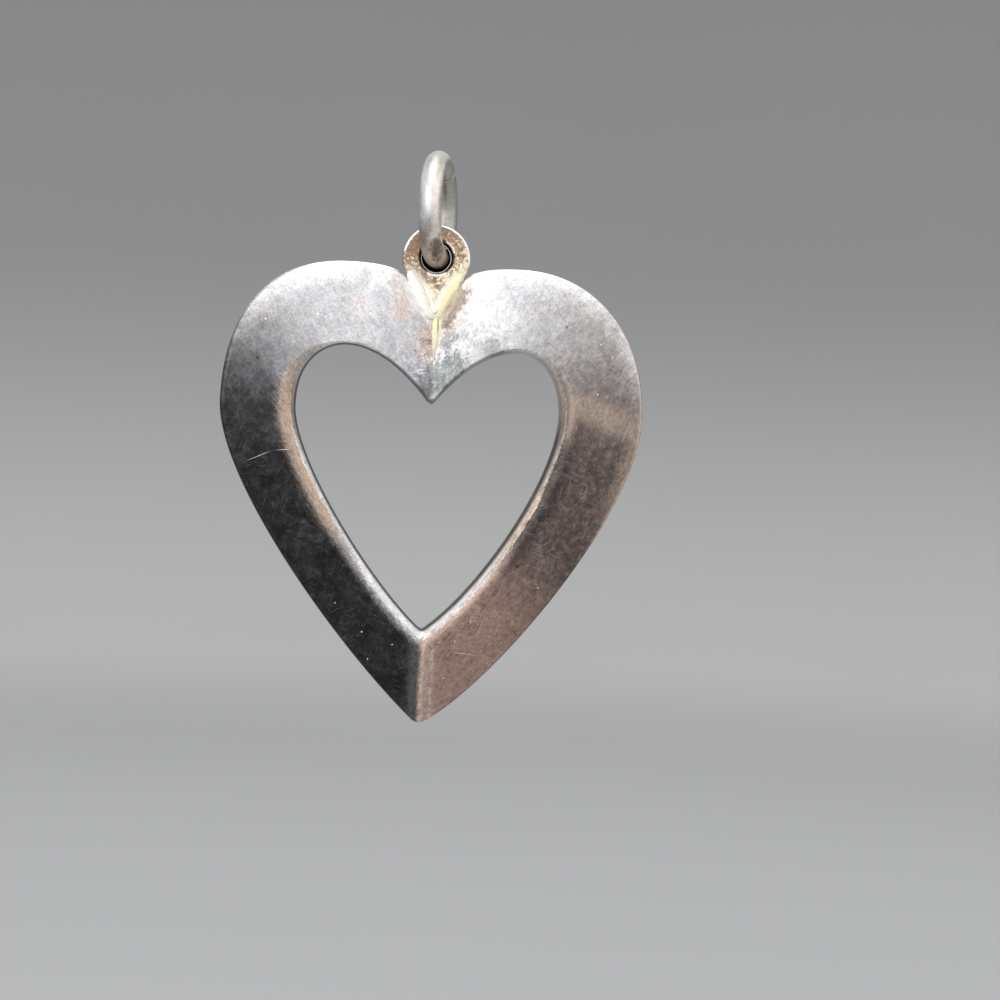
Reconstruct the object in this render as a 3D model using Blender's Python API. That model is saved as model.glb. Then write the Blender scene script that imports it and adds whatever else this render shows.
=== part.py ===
"""Silver heart pendant: an open heart, hollow behind its sloped front, hung by a holed tab on a jump ring.

Metres, +Z up, the front towards -Y. The origin is the top of the jump ring's inside, where a chain carries it.
"""

import math

import bmesh
import bpy
from mathutils import Vector

MM = 0.001

# Heart outline. Heights are stacked up from the tip, and the other sizes are measured from the centre line.
# The heart is cut by hand: its right flank is fuller than its left one, and its lobes match.
RIGHT_HALF_WIDTH = 12.82 * MM
LEFT_HALF_WIDTH = 12.47 * MM
FLANK_HEIGHT = 18.67 * MM  # tip to the widest place
LOBE_RISE = 8.64 * MM  # widest place to the top of a lobe
LOBE_CENTRE = 5.21 * MM
NOTCH_DEPTH = 3.09 * MM  # top of a lobe down to the notch
INNER_LOBE_CENTRE = 5.11 * MM

# Widths of metal between the outline and the opening
TIP_BAND = 5.42 * MM
RIGHT_SIDE_BAND = 4.88 * MM
LEFT_SIDE_BAND = 4.3 * MM
LOBE_BAND = 4.82 * MM
NOTCH_BAND = 4.96 * MM

# Angles between the centre line and each outline where it starts or ends
RIGHT_TIP_ANGLE = math.radians(65.8)
LEFT_TIP_ANGLE = math.radians(48.8)
NOTCH_ANGLE = math.radians(39.3)
RIGHT_INNER_V_ANGLE = math.radians(55.7)
LEFT_INNER_V_ANGLE = math.radians(52.5)
CUSP_ANGLE = math.radians(34.3)

# How far from the centre line the rounding of each corner reaches
TIP_ROUND = 0.4 * MM
NOTCH_ROUND = 0.1 * MM
INNER_V_ROUND = 0.2 * MM
CUSP_ROUND = 0.3 * MM

# Fullness of each stretch of curve: its two handles as shares of the straight line between its ends
RIGHT_FULLNESS = ((0.179, 0.261), (0.427, 0.397))
LEFT_FULLNESS = ((0.263, 0.211), (0.438, 0.444))
LOBE_FULLNESS = (0.707, 0.428)
RIGHT_INNER_FULLNESS = ((0.244, 0.257), (0.357, 0.427))
LEFT_INNER_FULLNESS = ((0.195, 0.23), (0.543, 0.305))
INNER_LOBE_FULLNESS = (0.364, 0.22)
STRETCH_STEPS = (14, 10, 9)
CROWDING = 0.25  # steps crowd towards the centre line; less of it crowds them more

# Front shell, with heights above its own foot
RIM_HEIGHT = 0.5 * MM
RIM_ROUND = 0.2 * MM
CREST_HEIGHT = 1.45 * MM
SLOPE_CROWN = 0.07 * MM
SHOULDER_WIDTH = 1.0 * MM  # beside the flanks of the opening
SHOULDER_DROP = 0.4 * MM
LOBE_SHOULDER_WIDTH = 0.4 * MM
LOBE_SHOULDER_DROP = 0.18 * MM
SHOULDER_KNEE = 0.6  # share of the shoulder that carries on up the slope before it turns down
WALL_DRAFT = 0.16 * MM  # how much further in the opening's wall ends at the back
SHEET = 0.4 * MM

# Back plate, and the film of solder between any two pieces
PLATE_THICKNESS = 0.4 * MM
PLATE_EDGE = 0.08 * MM
SOLDER_FILM = 0.05 * MM

# Eyelet tab
TAB_RADIUS = 2.01 * MM
TAB_RISE = 3.46 * MM  # notch up to the middle of the disc
TAB_THICKNESS = 0.8 * MM
TAB_LIFT = 0.32 * MM  # back of the heart to the back of the tab
TAB_EDGE = 0.1 * MM
HOLE_RISE = 0.1 * MM  # the hole is drilled a little above the disc's middle
BORE_RADIUS = 1.0 * MM
LIP_RADIUS = 0.85 * MM
LIP_THICKNESS = 0.2 * MM

# Jump ring
RING_OUTER_RADIUS = 3.5 * MM
WIRE_RADIUS = 0.675 * MM
RING_YAW = math.radians(-14)  # how far the ring leans round in the loose hole
RING_PLAY = 0.03 * MM  # middle of the wire above the middle of the hole
WIRE_ENDS_GAP = 0.06 * MM
WIRE_ENDS_ANGLE = math.radians(60)  # the butt joint, above the level of the ring's middle at the back

# Solder round the tab's foot and down the valley
ARM_TOP_ACROSS = 1.75 * MM
ARM_TOP_RISE = 2.65 * MM  # above the notch
ARM_RADIUS = 0.45 * MM
STEM_LENGTH = 3.7 * MM
STEM_RADIUS = 0.36 * MM
BEAD_END_RADIUS = 0.14 * MM

NOTCH_HEIGHT = FLANK_HEIGHT + LOBE_RISE - NOTCH_DEPTH
TAB_HEIGHT = NOTCH_HEIGHT + TAB_RISE
SHELL_FOOT = PLATE_THICKNESS + SOLDER_FILM
TAB_FRONT = TAB_LIFT + TAB_THICKNESS
WIRE_CIRCLE = RING_OUTER_RADIUS - WIRE_RADIUS
RING_CENTRE = Vector((0, 0, WIRE_RADIUS - WIRE_CIRCLE))
HOLE_CENTRE = RING_CENTRE - Vector((0, 0, WIRE_CIRCLE + RING_PLAY))
# The heart's own origin: its tip, on the plane of its back
HEART_ORIGIN = Vector((0, TAB_LIFT + TAB_THICKNESS / 2, HOLE_CENTRE.z - HOLE_RISE - TAB_HEIGHT))


def clear_scene():
    for item in list(bpy.data.objects):
        bpy.data.objects.remove(item, do_unlink=True)


def metal(name, colour, roughness):
    material = bpy.data.materials.new(name)
    material.use_nodes = True
    shader = material.node_tree.nodes["Principled BSDF"]
    shader.inputs["Base Color"].default_value = (*colour, 1)
    shader.inputs["Metallic"].default_value = 1
    shader.inputs["Roughness"].default_value = roughness
    return material


def finish_object(name, bm, material):
    """Turns a bmesh into a smooth-shaded object with sharp edges where its faces meet at over 30 degrees."""
    bmesh.ops.recalc_face_normals(bm, faces=bm.faces)
    mesh = bpy.data.meshes.new(name)
    bm.to_mesh(mesh)
    bm.free()
    mesh.shade_smooth()
    mesh.set_sharp_from_angle(angle=math.radians(30))
    if material:
        mesh.materials.append(material)
    item = bpy.data.objects.new(name, mesh)
    bpy.context.scene.collection.objects.link(item)
    return item


def hide_cutter(item):
    item.hide_render = True
    item.display_type = "WIRE"
    return item


def skin(rings, closed):
    """A tube of quads over equal rings of points. It bites its tail when closed, and else both ends are capped."""
    bm = bmesh.new()
    loops = [[bm.verts.new(point) for point in ring] for ring in rings]
    pairs = list(zip(loops, loops[1:] + loops[:1])) if closed else list(zip(loops, loops[1:]))
    for first, second in pairs:
        for i in range(len(first)):
            bm.faces.new((first[i - 1], first[i], second[i], second[i - 1]))
    if not closed:
        bm.faces.new(loops[0])
        bm.faces.new(loops[-1])
    return bm


def blend(low, high, share):
    return low + (high - low) * share


def bezier(controls, share):
    """Point at a share of a cubic Bezier stretch, given by its four control points."""
    rest = 1 - share
    weights = (rest ** 3, 3 * share * rest ** 2, 3 * share ** 2 * rest, share ** 3)
    return sum((Vector(point) * weight for point, weight in zip(controls, weights)), Vector((0, 0)))


def share_off_centre(controls, across):
    """Share of a stretch that starts on the centre line, where it has come this far across."""
    low, high = 0, 1
    for _ in range(40):
        middle = (low + high) / 2
        if bezier(controls, middle).x < across:
            low = middle
        else:
            high = middle
    return low


def crowded(steps):
    """Shares from 0 to 1 that crowd towards 0."""
    even = [step / steps for step in range(steps + 1)]
    return [share ** 2 / (share + CROWDING) * (1 + CROWDING) for share in even]


def half_outline(knots, foot_angle, end_angle, foot_round, end_round, fullness):
    """Half of a heart outline, from its foot on the centre line over the lobe to its notch.

    Its first and last points lie half a rounding's reach off the centre line, and round_corner moves them onto it.
    """
    foot, widest, lobe, end = (Vector(knot) for knot in knots)
    foot.y -= foot_round / 2 / math.tan(foot_angle)
    end.y -= end_round / 2 / math.tan(end_angle)
    out_of_foot = Vector((math.sin(foot_angle), math.cos(foot_angle)))
    into_end = Vector((math.sin(end_angle), math.cos(end_angle)))
    up, along = Vector((0, 1)), Vector((1, 0))
    first, second, third = (
        (start, start + leave_way * leave * (stop - start).length,
         stop + arrive_way * arrive * (stop - start).length, stop)
        for start, stop, (leave, arrive), leave_way, arrive_way in (
            (foot, widest, fullness[0], out_of_foot, -up),
            (widest, lobe, fullness[1], up, along),
            (lobe, end, fullness[2], -along, into_end),
        )
    )
    back = third[::-1]
    from_foot = share_off_centre(first, foot_round / 2)
    from_end = share_off_centre(back, end_round / 2)
    points = [bezier(first, blend(from_foot, 1, share)) for share in crowded(STRETCH_STEPS[0])]
    points += [bezier(second, step / STRETCH_STEPS[1]) for step in range(1, STRETCH_STEPS[1] + 1)]
    return points + [bezier(back, blend(from_end, 1, share)) for share in crowded(STRETCH_STEPS[2])[-2::-1]]


def round_corner(across, reach):
    """Distance from the centre line after rounding: a parabola that leaves it square and joins the old line."""
    if across >= reach:
        return across
    return math.sqrt(max(2 * reach * (across - reach / 2), 0))


class Station:
    """One place on the heart's outline, with a straight ruling in to the opening."""

    def __init__(self, point, inside, tangent, side, on_flank, shoulder):
        across = inside - point
        self.point, self.side = point, side
        self.width = abs(across.x * tangent.y - across.y * tangent.x)
        # One metre of the way in is one metre square to the outline.
        self.way = across / self.width
        self.rounds = (TIP_ROUND, INNER_V_ROUND) if on_flank else (NOTCH_ROUND, CUSP_ROUND)
        self.shoulder, self.drop = shoulder

    def at(self, depth):
        """Point at a depth in from the outline, rounded near the centre line."""
        place = self.point + self.way * depth
        reach = blend(*self.rounds, depth / self.width)
        return Vector((self.side * round_corner(place.x, reach), place.y))


def half_stations(side, half_width, side_band, tip_angle, v_angle, fullness, inner_fullness):
    """Stations of the right half (side 1) or the left half (side -1), from the tip to the notch."""
    lobe_top = FLANK_HEIGHT + LOBE_RISE
    outer = half_outline(
        ((0, 0), (half_width, FLANK_HEIGHT), (LOBE_CENTRE, lobe_top), (0, NOTCH_HEIGHT)),
        tip_angle, NOTCH_ANGLE, TIP_ROUND, NOTCH_ROUND, (*fullness, LOBE_FULLNESS),
    )
    inner = half_outline(
        ((0, TIP_BAND), (half_width - side_band, FLANK_HEIGHT), (INNER_LOBE_CENTRE, lobe_top - LOBE_BAND),
         (0, NOTCH_HEIGHT - NOTCH_BAND)),
        v_angle, CUSP_ANGLE, INNER_V_ROUND, CUSP_ROUND, (*inner_fullness, INNER_LOBE_FULLNESS),
    )
    last = len(outer) - 1
    stations = []
    for i, (point, inside) in enumerate(zip(outer, inner)):
        tangent = (outer[min(i + 1, last)] - outer[max(i - 1, 0)]).normalized()
        # The shoulder narrows between the widest place and the top of the lobe.
        lobe_share = min(max((i - STRETCH_STEPS[0]) / STRETCH_STEPS[1], 0), 1)
        ease = lobe_share ** 2 * (3 - 2 * lobe_share)
        shoulder = blend(SHOULDER_WIDTH, LOBE_SHOULDER_WIDTH, ease), blend(SHOULDER_DROP, LOBE_SHOULDER_DROP, ease)
        on_flank = i < sum(STRETCH_STEPS[:2])
        stations.append(Station(point, inside, tangent, side, on_flank, shoulder))
    return stations


def right_stations():
    return half_stations(
        1, RIGHT_HALF_WIDTH, RIGHT_SIDE_BAND, RIGHT_TIP_ANGLE, RIGHT_INNER_V_ANGLE,
        RIGHT_FULLNESS, RIGHT_INNER_FULLNESS,
    )


def left_stations():
    return half_stations(
        -1, LEFT_HALF_WIDTH, LEFT_SIDE_BAND, LEFT_TIP_ANGLE, LEFT_INNER_V_ANGLE,
        LEFT_FULLNESS, LEFT_INNER_FULLNESS,
    )


def heart_sweep(profile):
    """Carries a closed profile round the heart. The profile gives (in from the outline, above the back) pairs."""
    rings = []
    for station in right_stations() + left_stations()[-2:0:-1]:
        ring = []
        for depth, height in profile(station):
            place = station.at(depth)
            ring.append((place.x, -height, place.y))
        rings.append(ring)
    return skin(rings, closed=True)


def slope_height(share):
    """Height of the sloped front above the shell's foot, at a share of the way from the rim to the crest."""
    return blend(RIM_HEIGHT, CREST_HEIGHT, share) + SLOPE_CROWN * 4 * share * (1 - share)


def front_face(station):
    """Outer face across the band: round rim, crowned slope, shoulder beyond the crest, then the drafted wall."""
    width = station.width
    crest = width - station.shoulder
    points = [(0, SHELL_FOOT)]
    for step in range(5):
        turn = math.pi / 2 * step / 4
        rim = RIM_HEIGHT - RIM_ROUND * (1 - math.sin(turn))
        points.append((RIM_ROUND * (1 - math.cos(turn)), SHELL_FOOT + rim))
    for step in range(1, 6):
        share = step / 5
        points.append((blend(RIM_ROUND, crest, share), SHELL_FOOT + slope_height(share)))
    knee = station.shoulder * SHOULDER_KNEE
    steep = (CREST_HEIGHT - RIM_HEIGHT - 4 * SLOPE_CROWN) / (crest - RIM_ROUND)
    edge = CREST_HEIGHT - station.drop
    controls = (
        (crest, CREST_HEIGHT), (crest + knee, CREST_HEIGHT + steep * knee),
        (width, edge + station.drop * SHOULDER_KNEE), (width, edge),
    )
    for step in range(1, 7):
        place = bezier(controls, step / 6)
        points.append((place.x, SHELL_FOOT + place.y))
    points.append((width + WALL_DRAFT, SHELL_FOOT))
    return points


def shell_profile(station):
    """The front face and, one sheet thickness below it, the hollow that opens at the back."""
    width = station.width
    crest = width - station.shoulder
    run = crest - RIM_ROUND
    # The hollow starts where the sheet's underside is clear of the shell's foot.
    start = max(SHEET, RIM_ROUND + run * (SHEET - RIM_HEIGHT) / (CREST_HEIGHT - RIM_HEIGHT))
    edge_height = CREST_HEIGHT - station.drop - SHEET / 2
    hollow = [
        (width + WALL_DRAFT - SHEET, SHELL_FOOT),
        (width - SHEET, SHELL_FOOT + edge_height),
        (crest, SHELL_FOOT + CREST_HEIGHT - SHEET),
    ]
    for step in (3, 2, 1, 0):
        depth = blend(start, crest, step / 4)
        share = (depth - RIM_ROUND) / run
        hollow.append((depth, SHELL_FOOT + slope_height(share) - SHEET))
    hollow.append((start, SHELL_FOOT))
    return front_face(station) + hollow


def plate_profile(station):
    """Flat sheet as wide as the shell, with its rear edges broken."""
    inside = station.width + WALL_DRAFT
    return [
        (0, PLATE_THICKNESS), (0, PLATE_EDGE), (PLATE_EDGE, 0),
        (inside - PLATE_EDGE, 0), (inside, PLATE_EDGE), (inside, PLATE_THICKNESS),
    ]


def film_profile(station):
    """The heart made solid and one solder film larger, which keeps the tab and the solder off it."""
    points = front_face(station)
    grown = [(depth - SOLDER_FILM, height + SOLDER_FILM) for depth, height in points[:6]]
    grown += [(depth, height + SOLDER_FILM) for depth, height in points[6:]]
    back = -SOLDER_FILM
    return [(-SOLDER_FILM, back)] + grown[1:] + [(station.width + WALL_DRAFT, back)]


def tab_outline(radius, gap):
    """Outline of the tab: a disc whose foot follows the notch, at a gap from the lobes."""
    middle = Vector((0, TAB_HEIGHT))
    foot = []
    for station in reversed(right_stations()):
        place = station.at(-gap)
        # The foot leaves the lobe where that comes nearest to the disc, or where it runs out past the disc's rim.
        far = (place - middle).length
        near = (foot[-1] - middle).length if foot else far
        if far > max(radius, near):
            if near < radius:
                foot.append(foot[-1].lerp(place, (radius - near) / (far - near)))
            break
        foot.append(place)
    leave = foot[-1] - middle
    start = math.atan2(leave.y, leave.x)
    steps = 32
    arc = []
    for step in range(steps + 1):
        turn = blend(start, math.pi / 2, step / steps)
        arc.append(middle + radius * Vector((math.cos(turn), math.sin(turn))))
    right = foot + arc
    flip = Vector((-1, 1))
    return right + [point * flip for point in right[-2:0:-1]]


def plate_from(outline, low, high):
    """A flat plate of this outline between two heights above the heart's back."""
    return skin([[(p.x, -height, p.y) for p in outline] for height in (low, high)], closed=False)


def turned(profile, centre, steps=32):
    """A round solid about the Y direction through a centre: rings of (radius, height above the heart's back)."""
    rings = []
    for radius, height in profile:
        turns = [2 * math.pi * step / steps for step in range(steps)]
        rings.append(
            [(centre.x + radius * math.cos(t), -height, centre.y + radius * math.sin(t)) for t in turns]
        )
    return skin(rings, closed=False)


def bead(path, radii, sides=10):
    """A round bead along a path in the heart's frame, with a radius at each point."""
    rings = []
    for i, (point, radius) in enumerate(zip(path, radii)):
        along = (path[min(i + 1, len(path) - 1)] - path[max(i - 1, 0)]).normalized()
        side = along.cross(Vector((0, -1, 0))).normalized()
        up = side.cross(along)
        turns = [2 * math.pi * step / sides for step in range(sides)]
        rings.append([point + radius * (side * math.cos(t) + up * math.sin(t)) for t in turns])
    return skin(rings, closed=False)


def add_boolean(item, operation, other):
    modifier = item.modifiers.new(f"{operation.lower()} {other.name}", "BOOLEAN")
    modifier.operation = operation
    modifier.object = other
    modifier.solver = "EXACT"


def make_front_shell(silver):
    return finish_object("front_shell", heart_sweep(shell_profile), silver)


def make_back_plate(silver):
    return finish_object("back_plate", heart_sweep(plate_profile), silver)


def make_eyelet_tab(silver):
    """Disc and foot cut from one sheet, with broken edges and a hole that steps in to a lip at the back."""
    outline = tab_outline(TAB_RADIUS, SOLDER_FILM)
    tab = finish_object("eyelet_tab", plate_from(outline, TAB_LIFT, TAB_FRONT), silver)
    edges = tab.modifiers.new("broken edges", "BEVEL")
    edges.width = TAB_EDGE
    edges.segments = 2
    edges.limit_method = "ANGLE"
    edges.angle_limit = math.radians(50)

    hole = Vector((0, TAB_HEIGHT + HOLE_RISE))
    step = TAB_LIFT + LIP_THICKNESS
    beyond = TAB_THICKNESS
    profile = [
        (LIP_RADIUS, TAB_LIFT - beyond), (LIP_RADIUS, step), (BORE_RADIUS, step),
        (BORE_RADIUS, TAB_FRONT - TAB_EDGE), (BORE_RADIUS + TAB_EDGE, TAB_FRONT),
        (BORE_RADIUS + TAB_EDGE, TAB_FRONT + beyond),
    ]
    drill = hide_cutter(finish_object("stepped_drill", turned(profile, hole), None))
    add_boolean(tab, "DIFFERENCE", drill)
    return tab, drill


def valley_height(fallen):
    """Height of the valley floor above the heart's back, this far below the notch along the centre line."""
    station = right_stations()[-1]
    depth = station.width * fallen / NOTCH_BAND
    share = (depth - RIM_ROUND) / (station.width - station.shoulder - RIM_ROUND)
    return SHELL_FOOT + slope_height(min(max(share, 0), 1))


def make_solder_seam(gold):
    """Two arms round the tab's foot and a stem that thins out down the valley, laid over the metal below them."""
    stem_steps = 7
    stem = []
    for step in range(stem_steps + 1):
        fallen = blend(-SOLDER_FILM, STEM_LENGTH, step / stem_steps)
        stem.append(Vector((0, -valley_height(fallen), NOTCH_HEIGHT - fallen)))
    stem_radii = [blend(STEM_RADIUS, BEAD_END_RADIUS, step / stem_steps) for step in range(stem_steps + 1)]
    seam = finish_object("solder_seam", bead(stem, stem_radii), gold)

    rim_front = SHELL_FOOT + RIM_HEIGHT
    others = []
    for side, word in ((1, "right"), (-1, "left")):
        arm = []
        for share in (-0.12, 0.15, 0.4, 0.65, 0.85, 1):
            across = side * ARM_TOP_ACROSS * max(share, 0) ** 1.15
            rise = ARM_TOP_RISE * share
            arm.append(Vector((across, -rim_front, NOTCH_HEIGHT + rise)))
        radii = [STEM_RADIUS, ARM_RADIUS, ARM_RADIUS, ARM_RADIUS * 0.9, ARM_RADIUS * 0.7, BEAD_END_RADIUS]
        bead_arm = hide_cutter(finish_object(f"{word}_solder_arm", bead(arm, radii), None))
        add_boolean(seam, "UNION", bead_arm)
        others.append(bead_arm)

    film = hide_cutter(finish_object("heart_film", heart_sweep(film_profile), None))
    tab_film_bm = plate_from(tab_outline(TAB_RADIUS + SOLDER_FILM, 0), -SOLDER_FILM, TAB_FRONT + SOLDER_FILM)
    tab_film = hide_cutter(finish_object("tab_film", tab_film_bm, None))
    add_boolean(seam, "DIFFERENCE", film)
    add_boolean(seam, "DIFFERENCE", tab_film)
    return seam, others + [film, tab_film]


def make_jump_ring(silver):
    """Round wire bent into a ring about its own X axis, its two ends meeting in a butt joint at the back."""
    half_gap = WIRE_ENDS_GAP / 2 / WIRE_CIRCLE
    steps, sides = 48, 16
    rings = []
    for step in range(steps + 1):
        turn = WIRE_ENDS_ANGLE + half_gap + (2 * math.pi - 2 * half_gap) * step / steps
        outwards = Vector((0, math.cos(turn), math.sin(turn)))
        ring = []
        for side in range(sides):
            angle = 2 * math.pi * side / sides
            reach = WIRE_CIRCLE + WIRE_RADIUS * math.cos(angle)
            ring.append(outwards * reach + Vector((WIRE_RADIUS * math.sin(angle), 0, 0)))
        rings.append(ring)
    ring = finish_object("jump_ring", skin(rings, closed=False), silver)
    ring.location = RING_CENTRE
    ring.rotation_euler.z = RING_YAW
    return ring


def main():
    clear_scene()
    silver = metal("tarnished_silver", (0.62, 0.59, 0.57), 0.32)
    plain_silver = metal("plain_silver", (0.66, 0.64, 0.62), 0.4)
    tab_silver = metal("brown_tarnished_silver", (0.46, 0.38, 0.31), 0.45)
    ring_silver = metal("ring_silver", (0.6, 0.56, 0.5), 0.3)
    gold = metal("silver_solder", (0.84, 0.76, 0.5), 0.35)

    # The heart swings about the jump ring's own centre, as its hole slides round the wire.
    pivot = bpy.data.objects.new("heart_pivot", None)
    bpy.context.scene.collection.objects.link(pivot)
    pivot.location = RING_CENTRE

    make_jump_ring(ring_silver)
    tab, drill = make_eyelet_tab(tab_silver)
    seam, helpers = make_solder_seam(gold)
    for item in (make_front_shell(silver), make_back_plate(plain_silver), tab, drill, seam, *helpers):
        item.parent = pivot
        item.location = HEART_ORIGIN - RING_CENTRE


main()
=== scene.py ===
"""Heart pendant: an open silver heart with a sloped front, hung by a holed tab from a loose jump ring.

The packed model is the fixed frame. Each piece here is a finer surface with a worked finish that stands for
one of its nodes. Lengths are in metres, +Z is up as the pendant hangs and -Y comes out of the sloped front.
"""

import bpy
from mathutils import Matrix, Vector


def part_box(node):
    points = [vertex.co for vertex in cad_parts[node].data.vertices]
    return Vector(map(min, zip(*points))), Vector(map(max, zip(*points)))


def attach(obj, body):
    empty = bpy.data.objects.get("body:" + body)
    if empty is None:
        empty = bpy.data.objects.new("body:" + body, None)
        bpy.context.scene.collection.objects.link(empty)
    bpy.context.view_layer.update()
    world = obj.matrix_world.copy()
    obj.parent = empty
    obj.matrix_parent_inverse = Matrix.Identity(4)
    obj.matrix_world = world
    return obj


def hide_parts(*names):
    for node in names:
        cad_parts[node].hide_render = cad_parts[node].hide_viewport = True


bl_info = {
    "name": "Heart Pendant",
    "version": (1, 0, 0),
    "blender": (4, 5, 0),
    "location": "3D View > Sidebar > Pendant",
    "description": "Builds a tarnished silver heart pendant and a plain studio round it",
    "category": "Add Mesh",
}

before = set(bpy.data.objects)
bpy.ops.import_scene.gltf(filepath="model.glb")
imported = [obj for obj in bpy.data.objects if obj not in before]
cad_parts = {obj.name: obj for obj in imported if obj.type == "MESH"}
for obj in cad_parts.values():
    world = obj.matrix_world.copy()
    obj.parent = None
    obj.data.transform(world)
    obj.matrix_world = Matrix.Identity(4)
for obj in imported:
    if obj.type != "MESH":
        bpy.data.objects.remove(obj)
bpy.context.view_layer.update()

import math

import bmesh
import bpy
import numpy as np
from bpy.props import FloatProperty, FloatVectorProperty, PointerProperty
from bpy.types import Operator, Panel, PropertyGroup
from mathutils import Quaternion, Vector

MM = 0.001
BACK_LOW, BACK_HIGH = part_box("back_plate")
RING_LOW, RING_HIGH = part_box("jump_ring")


def length(name, default, description):
    """A property that holds a length, given in millimetres."""
    return FloatProperty(
        name=name, description=description, default=default * MM, min=0, precision=5, unit="LENGTH",
        subtype="DISTANCE",
    )


def angle(name, default, description):
    """A property that holds an angle, given in degrees."""
    return FloatProperty(
        name=name, description=description, default=math.radians(default), unit="ROTATION", subtype="ANGLE",
    )


def colour(name, default, description):
    """A property that holds a colour in linear light."""
    return FloatVectorProperty(
        name=name, description=description, default=default, size=3, min=0, max=1, subtype="COLOR",
    )


def amount(name, default, description):
    """A property that holds a plain number."""
    return FloatProperty(name=name, description=description, default=default)


# Sizes

class PENDANT_PG_outline(PropertyGroup):
    """The heart's two outlines, measured from its tip"""

    right_half_width: length("Right half width", 12.82, "Centre line to the widest point on the right")
    left_half_width: length("Left half width", 12.47, "Centre line to the widest point on the left")
    flank_height: length("Flank height", 18.67, "Tip to the level of the widest points")
    lobe_rise: length("Lobe rise", 8.64, "Widest points up to the top of the lobes")
    lobe_centre: length("Lobe centre", 5.21, "Centre line to the top of a lobe")
    notch_depth: length("Notch depth", 3.09, "Top of a lobe down to the notch")
    inner_lobe_centre: length("Inner lobe centre", 5.11, "Centre line to the top of the opening")
    tip_band: length("Tip band", 5.42, "Metal between the tip and the opening")
    right_side_band: length("Right side band", 4.88, "Metal right of the opening at its widest")
    left_side_band: length("Left side band", 4.3, "Metal left of the opening at its widest")
    lobe_band: length("Lobe band", 4.94, "Metal above the opening")
    notch_band: length("Notch band", 5.08, "Metal between the notch and the opening's cusp")
    right_tip_angle: angle("Right tip angle", 65.8, "Centre line to the right flank at the tip")
    left_tip_angle: angle("Left tip angle", 48.8, "Centre line to the left flank at the tip")
    notch_angle: angle("Notch angle", 39.3, "Centre line to the outline at the notch")
    right_v_angle: angle("Right V angle", 55.7, "Centre line to the opening's right side at its foot")
    left_v_angle: angle("Left V angle", 52.5, "Centre line to the opening's left side at its foot")
    cusp_angle: angle("Cusp angle", 34.3, "Centre line to the opening at its cusp")
    tip_round: length("Tip rounding", 0.4, "Reach of the rounding at the tip")
    v_round: length("V rounding", 0.2, "Reach of the rounding at the foot of the opening")
    notch_round: length("Notch rounding", 0.1, "Reach of the rounding at the notch")
    cusp_round: length("Cusp rounding", 0.3, "Reach of the rounding at the opening's cusp")


class PENDANT_PG_shell(PropertyGroup):
    """The front shell and the plate behind it"""

    rim_height: length("Rim height", 0.5, "Height of the outer rim above the shell's foot")
    rim_round: length("Rim rounding", 0.2, "Radius of the outer rim")
    crest_height: length("Crest height", 1.45, "Height of the crest above the shell's foot")
    slope_crown: length("Slope crown", 0.07, "How far the slope bulges between rim and crest")
    shoulder_width: length("Shoulder width", 1.0, "Crest to the edge of the opening, along the flanks")
    shoulder_drop: length("Shoulder drop", 0.4, "Fall of the shoulder to the wall, along the flanks")
    lobe_shoulder_width: length("Lobe shoulder width", 0.14, "Crest to the opening's edge, under the lobes")
    lobe_shoulder_drop: length("Lobe shoulder drop", 0.07, "Fall to the wall, under the lobes")
    wall_draft: length("Wall draft", 0.16, "How much further in the flanks' wall ends at the back")
    sheet: length("Sheet", 0.4, "Thickness of the shell's metal")
    plate_thickness: length("Plate thickness", 0.4, "Thickness of the back plate")
    plate_edge: length("Plate edge", 0.08, "Broken edge of the back plate")
    solder_film: length("Solder film", 0.05, "Gap between the shell and the plate")
    wobble: length("Wobble", 0.011, "Unevenness of the hand-finished slope")


class PENDANT_PG_tab(PropertyGroup):
    """The eyelet tab"""

    radius: length("Radius", 2.01, "Radius of the tab's disc")
    rise: length("Rise", 3.46, "Notch up to the middle of the disc")
    thickness: length("Thickness", 0.8, "Thickness of the tab")
    lift: length("Lift", 0.32, "Back of the heart to the back of the tab")
    edge: length("Edge", 0.1, "Rounding of the tab's edges")
    hole_rise: length("Hole rise", 0.1, "Middle of the disc up to the middle of the hole")
    bore: length("Bore", 1.0, "Radius of the hole at the front")
    lip: length("Lip", 0.85, "Radius of the hole at the back")
    lip_thickness: length("Lip thickness", 0.2, "Thickness of the lip at the back")
    # The web is a dark sheet standing in for shade at the foot of the hole
    web: length("Web", 0.3, "How far dirt and solder have closed the foot of the hole behind the lip")


class PENDANT_PG_ring(PropertyGroup):
    """The jump ring"""

    outer_radius: length("Outer radius", 3.492, "Outer radius of the ring")
    wire_radius: length("Wire radius", 0.667, "Radius of its wire")
    yaw: angle("Yaw", -14, "How far the ring leans round in the hole")
    gap: length("Gap", 0.06, "Space between the wire's two ends")
    gap_angle: angle("Gap angle", 60, "Place of the two ends, above the ring's middle at the back")


class PENDANT_PG_solder(PropertyGroup):
    """The solder round the tab's foot and down the valley"""

    height: length("Height", 0.085, "Height of an arm above the tab's face")
    tilt: angle("Tilt", 8, "How far the arms' faces turn up")
    stem_height: length("Stem height", 0.07, "Height of the stem above the valley")
    spread: amount("Spread", 1.2, "Width of the solder against its drawn width")
    fillet: length("Fillet", 0.52, "Middle of an arm to the middle of the low fillet beside it")


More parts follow.
